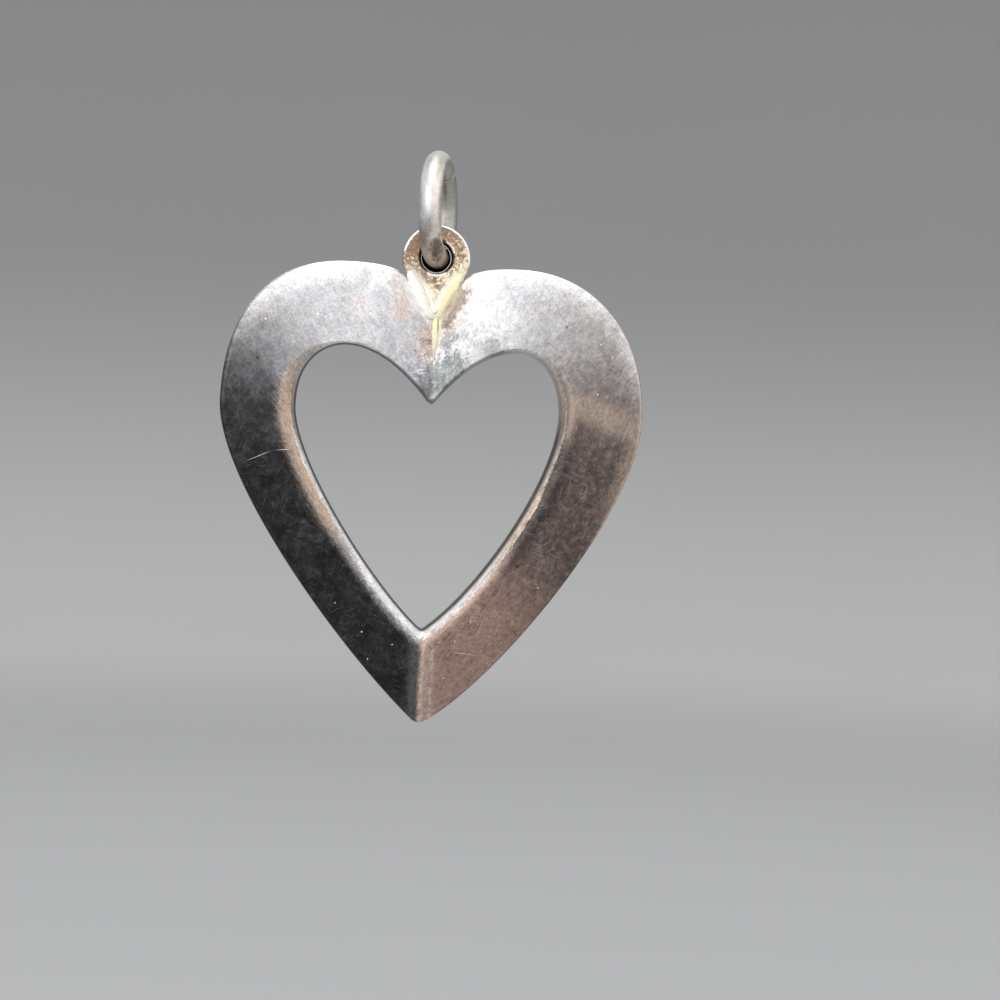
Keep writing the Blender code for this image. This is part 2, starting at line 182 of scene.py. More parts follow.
class PENDANT_PG_finish(PropertyGroup):
    """Colours of the metal, its tarnish and the light and shade painted on it"""

    silver: colour("Silver", (0.66, 0.655, 0.665), "Silver under a thin film")
    # Polish: silver rubbed bright, also used for painted highlights on rims, shoulders, edges and glints
    polish_and_highlight: colour("Polish", (0.97, 0.96, 0.95), "Silver rubbed bright on edges")
    # Pewter also stands for painted shade on the left lobe and beside the ridge
    pewter: colour("Pewter", (0.42, 0.42, 0.43), "Duller silver towards the opening")
    lilac: colour("Lilac film", (0.50, 0.49, 0.55), "Thin bluish film on the lobes")
    blush: colour("Blush film", (0.66, 0.56, 0.52), "Thin pinkish film on the lobes")
    # Peach is also the painted highlight on the right rim line, the ridge and the right shoulder's edge
    peach: colour("Peach film", (0.80, 0.64, 0.52), "Film where the solder's heat reached the lobes")
    teal: colour("Teal film", (0.17, 0.19, 0.185), "Dark greenish film beside the cusp")
    # Charcoal and slate: black tarnish with painted shade on the left flank
    charcoal: colour("Charcoal", (0.030, 0.029, 0.031), "Black tarnish on the left flank")
    slate: colour("Slate", (0.088, 0.087, 0.093), "Bluish grey in the black tarnish")
    # Umber and rosewood: brown tarnish with a painted reflection on the right flank
    umber: colour("Umber", (0.150, 0.118, 0.108), "Brown tarnish on the right flank")
    rosewood: colour("Rosewood", (0.455, 0.30, 0.25), "Pinkish brown tarnish near the tip")
    # Tan on the shoulder is a painted reflection; elsewhere it is a warm film
    tan: colour("Tan", (0.56, 0.43, 0.335), "Warm film on the opening's shoulder")
    # The wall's dull silver is darkened by painted shade
    wall_shade_grey: colour("Wall grey", (0.11, 0.107, 0.10), "Dull silver on the opening's wall")
    tab_brown: colour("Tab brown", (0.31, 0.215, 0.15), "Brown tarnish on the tab")
    tab_peach: colour("Tab peach", (0.88, 0.74, 0.57), "Light film on the tab")
    # Ring grey is a film darkened as painted shade at the ring's top and on its rear leg
    ring_grey_and_shade: colour("Ring grey", (0.42, 0.42, 0.37), "Greenish grey film at the top of the ring")
    # Ring blush is a light film brightened as a painted reflection on the ring's right
    ring_blush_and_sheen: colour("Ring blush", (0.94, 0.85, 0.78), "Light film on the ring's right")
    ring_brown: colour("Ring brown", (0.20, 0.13, 0.08), "Brown tarnish where the ring wears in the hole")
    # Soot is both the dark of pits and the painted shade in the tab's hole
    soot_and_shade: colour("Soot", (0.010, 0.009, 0.008), "Dirt in corners")
    solder: colour("Solder", (0.93, 0.87, 0.58), "Pale yellow solder")
    # Bright solder is a painted highlight on the left arm, at the tab's foot and on the lobe beside it
    solder_highlight: colour("Bright solder", (0.98, 0.97, 0.92), "Solder where it is rubbed bright")
    # Dull solder is also the painted shade in the stem's crease
    solder_olive: colour("Dull solder", (0.27, 0.22, 0.10), "Solder where it is dull")


class PENDANT_PG_stage(PropertyGroup):
    """Studio, lamps and camera"""

    # The wall is painted darker than the floor and the bend as painted shade
    floor: colour("Floor", (0.41, 0.414, 0.42), "Colour of the floor")
    bend: colour("Bend", (0.465, 0.468, 0.47), "Colour of the curve between floor and wall")
    wall: colour("Wall", (0.28, 0.28, 0.285), "Colour of the wall")
    radius: length("Radius", 600, "Radius of the round studio")
    sweep: length("Sweep", 250, "Radius of the curve from floor to wall")
    height: length("Height", 280, "Height of the studio's wall")
    drop: length("Drop", 45, "Tip of the heart down to the floor")
    sky: amount("Sky", 1.0, "Strength of the even light from above")
    key: amount("Key lamp", 1.3, "Brightness of the soft lamp behind the camera")
    fill: amount("Fill lamp", 1.5, "Brightness of the soft lamp overhead")
    distance: length("Camera distance", 119, "Camera to the pendant")
    span: length("Span", 59.96, "Width of the picture at the pendant")
    azimuth: angle("Azimuth", -5.5, "Camera's turn about the vertical")
    roll: angle("Roll", 2.36, "Camera's turn about its own line of sight")
    aim_across: length("Aim across", 4.41, "Centre line to the point that the camera looks at")
    aim_down: length("Aim down", 19.31, "Hang point down to the point that the camera looks at")


GROUPS = {
    "pendant_outline": PENDANT_PG_outline,
    "pendant_shell": PENDANT_PG_shell,
    "pendant_tab": PENDANT_PG_tab,
    "pendant_ring": PENDANT_PG_ring,
    "pendant_solder": PENDANT_PG_solder,
    "pendant_finish": PENDANT_PG_finish,
    "pendant_stage": PENDANT_PG_stage,
}


# Meshes

def grid_faces(rows, columns, wrap_rows, wrap_columns):
    """Corners of the quads of a grid of points, numbered row by row."""
    i = np.arange(rows if wrap_rows else rows - 1)[:, None]
    j = np.arange(columns if wrap_columns else columns - 1)[None, :]
    i2, j2 = (i + 1) % rows, (j + 1) % columns
    corners = [i * columns + j, i * columns + j2, i2 * columns + j2, i2 * columns + j]
    return np.stack([np.broadcast_to(c, (i.size, j.size)) for c in corners], -1).reshape(-1, 4)


def signed_volume(points, quads):
    """Volume that closed quads hold: a sixth of the triple product of each of their triangles, summed."""
    total = 0.0
    for a, b, c in ((0, 1, 2), (0, 2, 3)):
        first, second, third = (points[quads[:, k]] for k in (a, b, c))
        total += np.einsum("ij,ij->", first, np.cross(second, third)) / 6
    return total


def surface(name, grid, wrap_rows=True, wrap_columns=True, marks=None):
    """A closed mesh object from a grid of points; open ends of rows are closed by a last row of one place.

    marks are named numbers for each point, which a material can read as attributes.
    """
    rows, columns = grid.shape[:2]
    points = grid.reshape(-1, 3)
    quads = grid_faces(rows, columns, wrap_rows, wrap_columns)
    if signed_volume(points, quads) < 0:
        quads = quads[:, ::-1]
    mesh = bpy.data.meshes.new(name)
    mesh.vertices.add(len(points))
    mesh.vertices.foreach_set("co", points.astype(np.float32).ravel())
    mesh.loops.add(quads.size)
    mesh.loops.foreach_set("vertex_index", quads.astype(np.int32).ravel())
    mesh.polygons.add(len(quads))
    mesh.polygons.foreach_set("loop_start", np.arange(0, quads.size, 4, dtype=np.int32))
    mesh.polygons.foreach_set("use_smooth", np.ones(len(quads), bool))
    for mark, values in (marks or {}).items():
        layer = mesh.attributes.new(mark, "FLOAT", "POINT")
        layer.data.foreach_set("value", np.broadcast_to(values, (rows, columns)).astype(np.float32).ravel())
    mesh.update(calc_edges=True)
    weld(mesh)
    item = bpy.data.objects.new(name, mesh)
    bpy.context.scene.collection.objects.link(item)
    return item


def weld(mesh):
    """Merges the points of a seam or a pole that lie in one place."""
    bm = bmesh.new()
    bm.from_mesh(mesh)
    bmesh.ops.remove_doubles(bm, verts=bm.verts, dist=1e-7)
    bm.to_mesh(mesh)
    bm.free()


def place_in_frame(across, up, height):
    """Points of the heart's own plane, with heights above its back, as points of the frame."""
    parts = np.broadcast_arrays(across, BACK_HIGH.y - height, up + BACK_LOW.z)
    return np.stack(parts, -1)


# The heart's band

# Handles of each stretch of outline, as shares of the straight line between its ends
OUTER_FULLNESS = {1: ((0.179, 0.261), (0.427, 0.397)), -1: ((0.263, 0.211), (0.438, 0.444))}
INNER_FULLNESS = {1: ((0.244, 0.257), (0.357, 0.427)), -1: ((0.195, 0.23), (0.543, 0.305))}
LOBE_FULLNESS = (0.707, 0.428)
INNER_LOBE_FULLNESS = (0.364, 0.22)
STRETCH_STEPS = (130, 90, 90)
SHOULDER_KNEE = 0.6
LOBE_DRAFT_LOSS = {1: 0.55, -1: 0.9}


def outline_at(t, knots, foot_angle, end_angle, fullness):
    """Half of a heart outline: 0 is its foot, 1 its widest point, 2 the top of its lobe and 3 its notch.

    Each stretch is a cubic Bezier curve. Its handles leave the foot and reach the notch at the two angles,
    stand upright at the widest point and lie level at the top. Their lengths are shares of the chord.
    """
    foot_way = (math.sin(foot_angle), math.cos(foot_angle))
    end_way = (math.sin(end_angle), math.cos(end_angle))
    ways = ((foot_way, (0, -1)), ((0, 1), (1, 0)), ((-1, 0), end_way))
    knots = np.array(knots)
    controls = []
    for start, end, (leave, arrive), (leave_way, arrive_way) in zip(knots, knots[1:], fullness, ways):
        reach = np.linalg.norm(end - start)
        handle_out = start + leave * reach * np.array(leave_way)
        handle_in = end + arrive * reach * np.array(arrive_way)
        controls.append([start, handle_out, handle_in, end])
    stretch = np.clip(t.astype(int), 0, 2)
    s = t - stretch
    weights = np.stack([(1 - s) ** 3, 3 * s * (1 - s) ** 2, 3 * s * s * (1 - s), s ** 3], -1)
    return np.einsum("ij,ijk->ik", weights, np.array(controls)[stretch])


def round_corner(across, reach):
    """Distance from the centre line after rounding: half the reach goes to 0, and the reach and beyond stay.

    Between them the result r fits across = r squared over twice the reach, plus half the reach, which is a
    parabola that leaves the centre line square and joins the old line without a kink.
    """
    inner = np.sqrt(np.maximum(2 * reach * (across - reach / 2), 0))
    return np.where(across < reach, inner, across)


def crowd(count, pull=0.06):
    """Shares from 0 to 1 that crowd towards 0: the square of an even share over itself plus a pull."""
    s = np.linspace(0, 1, count + 1)
    return s * s / (s + pull) * (1 + pull)


class Half:
    """Stations of the right half (side 1) or the left half (side -1), each a ruling in to the opening."""

    def __init__(self, sizes, side):
        self.side = side
        word = {1: "right", -1: "left"}[side]
        half_width, side_band, tip_angle, v_angle = (
            getattr(sizes, f"{word}_{name}") for name in ("half_width", "side_band", "tip_angle", "v_angle")
        )
        lobe_top = sizes.flank_height + sizes.lobe_rise
        notch = lobe_top - sizes.notch_depth
        self.outer = self.rounded_outline(
            (0, notch), ((half_width, sizes.flank_height), (sizes.lobe_centre, lobe_top)),
            (tip_angle, sizes.notch_angle), (sizes.tip_round, sizes.notch_round),
            (*OUTER_FULLNESS[side], LOBE_FULLNESS),
        )
        self.inner = self.rounded_outline(
            (sizes.tip_band, notch - sizes.notch_band),
            ((half_width - side_band, sizes.flank_height),
             (sizes.inner_lobe_centre, lobe_top - sizes.lobe_band)),
            (v_angle, sizes.cusp_angle), (sizes.v_round, sizes.cusp_round),
            (*INNER_FULLNESS[side], INNER_LOBE_FULLNESS),
        )
        count = len(self.outer)
        station = np.arange(count)
        on_flank = station < STRETCH_STEPS[0] + STRETCH_STEPS[1]
        self.outer_round = np.where(on_flank, sizes.tip_round, sizes.notch_round)
        self.inner_round = np.where(on_flank, sizes.v_round, sizes.cusp_round)
        share = np.clip((station - STRETCH_STEPS[0]) / STRETCH_STEPS[1], 0, 1)
        self.lobe_share = share ** 2 * (3 - 2 * share)
        self.draft_share = 1 - self.lobe_share[:, None] * LOBE_DRAFT_LOSS[side]
        self.across = self.inner - self.outer
        tangent = np.gradient(self.outer, axis=0)
        tangent /= np.linalg.norm(tangent, axis=1, keepdims=True)
        self.width = np.abs(self.across[:, 0] * tangent[:, 1] - self.across[:, 1] * tangent[:, 0])
        run = np.linalg.norm(np.diff(self.outer, axis=0), axis=1)
        self.run = np.concatenate([[0], np.cumsum(run)])
        self.out_way = np.stack([tangent[:, 1], -tangent[:, 0]], -1)

    @staticmethod
    def rounded_outline(ends, middles, angles, rounds, fullness):
        """Points of an outline that start and stop half a rounding's reach off the centre line.

        The sharp corners lie lower than the ends, by as much as brings the rounded ones to the ends.
        """
        fine = np.linspace(0, 1, 2001)
        low = [reach / 2 / math.tan(turn) for reach, turn in zip(rounds, angles)]
        for _ in range(4):
            knots = ((0, ends[0] - low[0]), *middles, (0, ends[1] - low[1]))
            first = outline_at(fine, knots, *angles, fullness)
            last = outline_at(3 - fine, knots, *angles, fullness)
            start = np.interp(rounds[0] / 2, first[:, 0], fine)
            stop = np.interp(rounds[1] / 2, last[:, 0], fine)
            low[0] += np.interp(start, fine, first[:, 1]) - ends[0]
            low[1] += np.interp(stop, fine, last[:, 1]) - ends[1]
        t = np.concatenate([
            start + (1 - start) * crowd(STRETCH_STEPS[0]),
            1 + np.linspace(0, 1, STRETCH_STEPS[1] + 1)[1:],
            3 - stop - (1 - stop) * crowd(STRETCH_STEPS[2])[::-1][1:],
        ])
        return outline_at(t, knots, *angles, fullness)

    def places(self, depth):
        """Plane points at these depths in from the outline, one row for each station."""
        share = depth / self.width[:, None]
        place = self.outer[:, None] + self.across[:, None] * share[..., None]
        reach = self.outer_round[:, None] * (1 - share) + self.inner_round[:, None] * share
        return self.side * round_corner(place[..., 0], np.maximum(reach, 1e-9)), place[..., 1]


class Heart:
    """Both halves of the heart's band, which share their stations at the tip and at the notch."""

    def __init__(self, sizes):
        self.halves = [Half(sizes, side) for side in (1, -1)]
        for end in (0, -1):
            mean = np.mean([half.width[end] for half in self.halves])
            for half in self.halves:
                away = np.abs(half.run - half.run[end]) / (2 * MM)
                half.width = half.width + (mean - half.width[end]) * np.exp(-away ** 2)

    @staticmethod
    def whole(right, left):
        """Rows of the right half, from tip to notch, and then the left half's rows back to the tip."""
        return np.concatenate([right, left[-2:0:-1]])

    def swept(self, profile, sizes, rise=None):
        """Carries a closed profile round the heart, as a grid of points of the frame.

        A rise, given the plane points and the profile's own numbers, adds to the heights.
        """
        rows = []
        for half in self.halves:
            depth, height, *numbers = profile(half, sizes)
            across, up = half.places(depth)
            height = np.broadcast_to(height, depth.shape)
            if rise:
                height = height + rise(across, up, *numbers)
            rows.append(place_in_frame(across, up, height))
        return self.whole(*rows)


def slope_height(share, sizes):
    """Height above the shell's foot: a straight climb from rim to crest, plus a parabola that bulges it."""
    climb = sizes.rim_height + (sizes.crest_height - sizes.rim_height) * share
    return climb + sizes.slope_crown * 4 * share * (1 - share)


def quarter(count):
    """Angles from 0 to a quarter turn."""
    return np.linspace(0, math.pi / 2, count)


def shoulder_sizes(half, sizes):
    """Width and fall of the shoulder at each station: full along the flanks, and less under the lobes."""
    share = half.lobe_share[:, None]
    return (
        sizes.shoulder_width * (1 - share) + sizes.lobe_shoulder_width * share,
        sizes.shoulder_drop * (1 - share) + sizes.lobe_shoulder_drop * share,
    )


def lay_profile(parts):
    """Joins the parts of a profile, each a pair of depths and heights, across all stations."""
    depths, heights = zip(*(np.broadcast_arrays(d, h) for d, h in parts))
    return np.concatenate(depths, 1), np.concatenate(heights, 1)


def shell_profile(half, sizes):
    """Section of the shell: rim, crowned slope, shoulder, drafted wall, and back along its hollow.

    The rim is a quarter circle. The shoulder is a cubic curve that leaves the slope on its own line and comes
    down square onto the wall. Also returned is how far across the section each point lies: 0 to 1 from the
    rim's foot to the crest, 1 to 2 over the shoulder, 2 to 3 down the wall and 4 in the hollow.
    """
    width = half.width[:, None]
    foot = sizes.plate_thickness + sizes.solder_film
    shoulder_width, shoulder_drop = shoulder_sizes(half, sizes)
    crest = width - shoulder_width
    run = crest - sizes.rim_round
    turn = quarter(9)[None]
    rim = (
        sizes.rim_round * (1 - np.cos(turn)) + 0 * width,
        foot + sizes.rim_height - sizes.rim_round * (1 - np.sin(turn)),
    )
    share = np.linspace(0, 1, 26)[None, 1:]
    slope = (sizes.rim_round + run * share, foot + slope_height(share, sizes))
    steep = (sizes.crest_height - sizes.rim_height - 4 * sizes.slope_crown) / run
    s = np.linspace(0, 1, 17)[None, 1:]
    knee = shoulder_width * SHOULDER_KNEE
    drop = sizes.crest_height - shoulder_drop
    shoulder = (
        crest * (1 - s) ** 3 + 3 * (crest + knee) * s * (1 - s) ** 2 + (3 * s * s * (1 - s) + s ** 3) * width,
        foot + sizes.crest_height * (1 - s) ** 3
        + 3 * (sizes.crest_height + steep * knee) * s * (1 - s) ** 2
        + 3 * (drop + shoulder_drop * SHOULDER_KNEE) * s * s * (1 - s) + drop * s ** 3,
    )
    fall = np.linspace(0, 1, 7)[None, 1:]
    draft = sizes.wall_draft * half.draft_share
    wall = (width + draft * fall, foot + drop * (1 - fall))
    start = np.maximum(
        sizes.sheet,
        sizes.rim_round + run * (sizes.sheet - sizes.rim_height) / (sizes.crest_height - sizes.rim_height),
    )
    under = np.linspace(1, 0, 7)[None]
    under_depth = start + (crest - start) * under
    hollow = lay_profile([
        (width + draft - sizes.sheet, foot),
        (width - sizes.sheet, foot + drop - sizes.sheet / 2),
        (under_depth, foot + slope_height((under_depth - sizes.rim_round) / run, sizes) - sizes.sheet),
        (start, foot),
    ])
    depth, height = lay_profile([(0 * width, foot), rim, slope, shoulder, wall, hollow])
    bends = [[0], 0.1 * np.linspace(0, 1, 9), 0.1 + 0.9 * share[0], 1 + s[0], 2 + fall[0], 4 * np.ones(10)]
    return depth, height, np.concatenate(bends)


def plate_profile(half, sizes):
    """Section of the plate: a flat strip under the whole shell, with its two rear edges rounded off."""
    inside = half.width[:, None] + sizes.wall_draft * half.draft_share
    edge = sizes.plate_edge
    turn = quarter(5)[None]
    across = np.linspace(0, 1, 22)[None, 1:-1]
    return lay_profile([
        (0 * inside, sizes.plate_thickness),
        (edge * (1 - np.cos(turn)) + 0 * inside, edge * (1 - np.sin(turn))),
        (edge + (inside - 2 * edge) * across, 0),
        (inside - edge * (1 - np.sin(turn)), edge * (1 - np.cos(turn)) + 0 * inside),
        (inside, sizes.plate_thickness),
    ])


def waves(across, up, seed, wavelength, count=9):
    """Smooth unevenness from -1 to 1: the mean of sine waves of about one wavelength in seeded directions."""
    rng = np.random.default_rng(seed)
    total = 0
    for turn, phase, stretch in zip(
        rng.uniform(0, math.tau, count), rng.uniform(0, math.tau, count), rng.uniform(0.6, 1.7, count)
    ):
        step = math.tau / (wavelength * stretch)
        total = total + np.sin(step * (across * math.cos(turn) + up * math.sin(turn)) + phase)
    return total / math.sqrt(count)


# Shader nodes

class Value:
    """A number from a shader node. Sums with it add Math nodes to its material."""

    def __init__(self, shader, socket):
        self.shader, self.socket = shader, socket

    def math(self, operation, *others, clamp=False):
        return self.shader.node("Math", {"operation": operation, "use_clamp": clamp}, [self, *others])

    def __add__(self, other):
        return self.math("ADD", other)

    def __sub__(self, other):
        return self.math("SUBTRACT", other)

    def __mul__(self, other):
        return self.math("MULTIPLY", other)

    def __truediv__(self, other):
        return self.math("DIVIDE", other)

    def __pow__(self, other):
        return self.math("POWER", other)

    def __rsub__(self, other):
        return self.shader.node("Math", {"operation": "SUBTRACT"}, [other, self])

    __radd__, __rmul__ = __add__, __mul__

    def clip(self):
        """The number held between 0 and 1."""
        return self.math("ADD", 0, clamp=True)

    def between(self, low, high):
        """0 at low, 1 at high and a smooth step from one to the other; low may be the larger."""
        return self.shader.node(
            "MapRange", {"interpolation_type": "SMOOTHSTEP"},
            {"Value": self, "From Min": low, "From Max": high},
        )

    def highest(self, *others):
        """The largest of the number and others."""
        result = self
        for other in others:
            result = result.math("MAXIMUM", other)
        return result


class Shader:
    """A material and the nodes that are added to it."""

    def __init__(self, name):
        self.material = bpy.data.materials.new(name)
        self.material.use_nodes = True
        self.tree = self.material.node_tree
        self.surface = self.tree.nodes["Principled BSDF"]
        self.place = self.node("TexCoord", {}, {}, "Object")

    def node(self, kind, settings, inputs, output=None):
        """Adds a node of a kind, sets its settings and then its sockets, and returns one of its outputs.

        inputs are values or links, in order or by socket name.
        """
        node = self.tree.nodes.new("ShaderNode" + kind)
        for setting, value in settings.items():
            setattr(node, setting, value)
        named = inputs.items() if isinstance(inputs, dict) else enumerate(inputs)
        for key, value in named:
            self.feed(self.socket(node.inputs, key), value)
        return Value(self, node.outputs[0] if output is None else self.socket(node.outputs, output))

    @staticmethod
    def socket(sockets, key):
        """The socket with this number, this identifier or this name."""
        if isinstance(key, int):
            return sockets[key]
        for socket in sockets:
            if socket.identifier == key:
                return socket
        return sockets[key]

    def feed(self, socket, value):
        """Links a value to a socket, or sets the socket to a number, a colour or a vector."""
        if isinstance(value, Value):
            self.tree.links.new(value.socket, socket)
        elif socket.type == "RGBA":
            socket.default_value = (*value, 1) if len(value) == 3 else value
        else:
            socket.default_value = value

    def mark(self, name):
        """A number that the mesh carries at each of its points."""
        return self.node("Attribute", {"attribute_name": name}, {}, "Fac")

    def split(self, vector):
        """The three parts of a vector."""
        node = self.tree.nodes.new("ShaderNodeSeparateXYZ")
        self.feed(node.inputs[0], vector)
        return [Value(self, output) for output in node.outputs]

    def in_mm(self, scale=(1, 1, 1), turn=0, shift=(0, 0, 0)):
        """Object coordinates in millimetres, turned about the front-to-back line and then stretched."""
        turned = self.node(
            "Mapping", {"vector_type": "POINT"},
            {"Vector": self.place, "Rotation": (0, turn, 0), "Scale": (1 / MM,) * 3, "Location": shift},
        )
        if scale == (1, 1, 1):
            return turned
        return self.node("VectorMath", {"operation": "MULTIPLY"}, [turned, scale])

    def noise(self, size, detail=3, roughness=0.55, seed=0, turn=0, stretch=(1, 1, 1)):
        """Cloudy noise about 0.5, with features of a size in millimetres."""
        scale = tuple(s / size for s in stretch)
        return self.node(
            "TexNoise", {},
            {
                "Vector": self.in_mm(scale, turn, (seed * 3.7, seed * 5.1, seed * 2.3)),
                "Scale": 1, "Detail": detail, "Roughness": roughness,
            },
            "Fac",
        )

    def mix(self, factor, low, high, kind="MIX"):
        """Two colours mixed by a factor."""
        return self.node(
            "Mix", {"data_type": "RGBA", "blend_type": kind, "clamp_result": True},
            {"Factor_Float": factor, "A_Color": low, "B_Color": high}, "Result_Color",
        )

    def scratches(self, layers, width, length_mm, share):
        """Fine straight scratches, 1 on a scratch: ridges of noise drawn out along several directions."""
        total = None
        for k, turn in enumerate(layers):
            long_noise = self.noise(1, 2, 0.6, 11 + k * 3, turn, (1 / width, 1, 1 / length_mm))
            lines = long_noise.between(share, share + 0.05)
            patches = self.noise(1.9, 1, 0.5, 31 + k).between(0.5, 0.62)
            line = lines * patches
            total = line if total is None else total.highest(line)
        return total

    def specks(self, size, radius, keep, seed):
        """Small round specks, 1 in the middle: cells of a size in mm, of which a share has a speck."""
        shift = (seed * 1.3, seed * 2.9, seed * 0.7)
        cells = self.tree.nodes.new("ShaderNodeTexVoronoi")
        self.feed(cells.inputs["Vector"], self.in_mm((1 / size,) * 3, 0, shift))
        cells.inputs["Scale"].default_value = 1
        distance = Value(self, cells.outputs["Distance"])
        chance = self.split(Value(self, cells.outputs["Color"]))[0]
        return distance.between(radius, radius * 0.4) * chance.between(keep, keep - 0.02)

    def blot(self, across, up, middle, radii, turn=0.0, waver=0.0):
        """An ellipse of radii in mm, turned about its middle: 1 inside, falling to 0 at its wavering edge."""
        right, rise = across - middle[0], up - middle[1]
        first = (right * math.cos(turn) + rise * math.sin(turn)) / radii[0]
        second = (rise * math.cos(turn) - right * math.sin(turn)) / radii[1]
        return ((first * first + second * second) ** 0.5 + waver).between(1.0, 0.35)

    def blots(self, across, up, shapes, waver):
        """The highest of several blots, each a middle, radii and a turn."""
        return Value.highest(*(self.blot(across, up, *shape, waver) for shape in shapes))

    def bumped(self, height, distance, strength):
        """A normal bent by a height field whose full range stands for a distance in mm."""
        return self.node("Bump", {}, {"Height": height, "Distance": distance * MM, "Strength": strength})

    def finish(self, tint, roughness, normal=None, metallic=1.0):
        """Feeds the material's own shader."""
        self.feed(self.surface.inputs["Base Color"], tint)
        self.feed(self.surface.inputs["Roughness"], roughness)
        self.feed(self.surface.inputs["Metallic"], metallic)
        if normal is not None:
            self.feed(self.surface.inputs["Normal"], normal)
        return self.material


# Finishes

# Blots on the front: middle from the centre line and the tip, half sizes in mm, turn, amount and colour
STAINS = (
    ((-1.7, 25.0), (1.3, 1.8), -0.5, 0.5, "peach"),
    ((-0.55, 23.0), (0.8, 2.2), 0.1, 0.6, "blush"),
    ((-0.36, 22.4), (0.4, 1.5), 0.0, 0.75, "tan"),
    ((1.2, 22.9), (1.3, 3.3), -0.35, 0.8, "pewter"),
    ((2.6, 21.8), (1.9, 1.9), -0.35, 0.75, "pewter"),
    ((0.65, 22.85), (0.85, 2.0), -0.12, 0.5, "slate"),
    ((3.7, 22.4), (0.9, 0.9), 0.0, 0.42, "slate"),
    ((1.15, 24.5), (0.8, 2.6), -0.5, 0.6, "tan"),
    ((1.15, 24.6), (0.5, 2.1), -0.55, 0.7, "umber"),
    ((0.75, 20.9), (1.4, 2.0), -0.5, 0.8, "teal"),
    ((0.0, 19.8), (1.9, 1.3), 0.0, 0.85, "teal"),
    ((-1.1, 21.2), (1.1, 1.5), 0.6, 0.5, "lilac"),
    ((-0.3, 19.65), (0.55, 0.45), 0.0, 0.4, "umber"),
    # A painted highlight: the bright solder's glow beside the left arm
    ((-1.05, 25.35), (0.75, 2.2), 0.55, 0.9, "solder_highlight"),
    ((0.62, 25.0), (0.4, 1.6), -0.5, 0.6, "solder"),
    ((0.15, 23.4), (0.4, 1.3), 0.0, 0.3, "solder"),
    ((10.2, 18.75), (3.4, 1.25), -0.35, 0.45, "tan"),
)
# Painted glints: highlights painted at nicks and fine scratches on the front: middle, half sizes and turn
GLINTS = (
    ((-0.72, 20.98), (0.34, 0.035), 0.12), ((-0.6, 20.78), (0.26, 0.03), 0.2),
    ((-0.3, 21.6), (0.25, 0.03), -0.7), ((-10.05, 15.48), (0.97, 0.018), 0.42),
    ((-8.63, 15.9), (0.52, 0.016), 0.1),
    ((2.58, 4.24), (0.95, 0.022), -0.12), ((-3.56, 5.33), (0.07, 0.06), 0),
    ((0.04, 22.0), (0.05, 1.0), 0.03), ((1.95, 4.95), (0.03, 0.14), 0.1), ((2.86, 6.2), (0.03, 0.2), 0),
    ((1.05, 4.9), (0.16, 0.025), 0.7), ((1.4, 2.75), (0.14, 0.025), -0.1),
    ((-3.14, 3.71), (0.06, 0.07), 0), ((-1.74, 4.66), (0.07, 0.05), 0),
)
TAB_PITS = (((0.12, 25.95), (0.36, 0.17), -0.5), ((-0.05, 26.35), (0.2, 0.22), 0))
# Bright solder at the tab's foot beside the arms, partly painted highlight
TAB_BLOOMS = (((-0.85, 25.6), (0.75, 2.0), 0.55), ((0.8, 25.6), (0.65, 2.0), -0.55))
# These lie across and up from the hang point
RING_BRIGHT_SPOTS = (((-0.5, -5.15), (0.16, 0.3), 0.5), ((0.3, -5.3), (0.16, 0.22), -0.5))
# Which way a solder arm's outer side faces: across and down
ARM_OUT = (0.864, 0.504)


def centred(*noises):
    """Noises moved from about 0.5 to about 0."""
    return [noise - 0.5 for noise in noises]


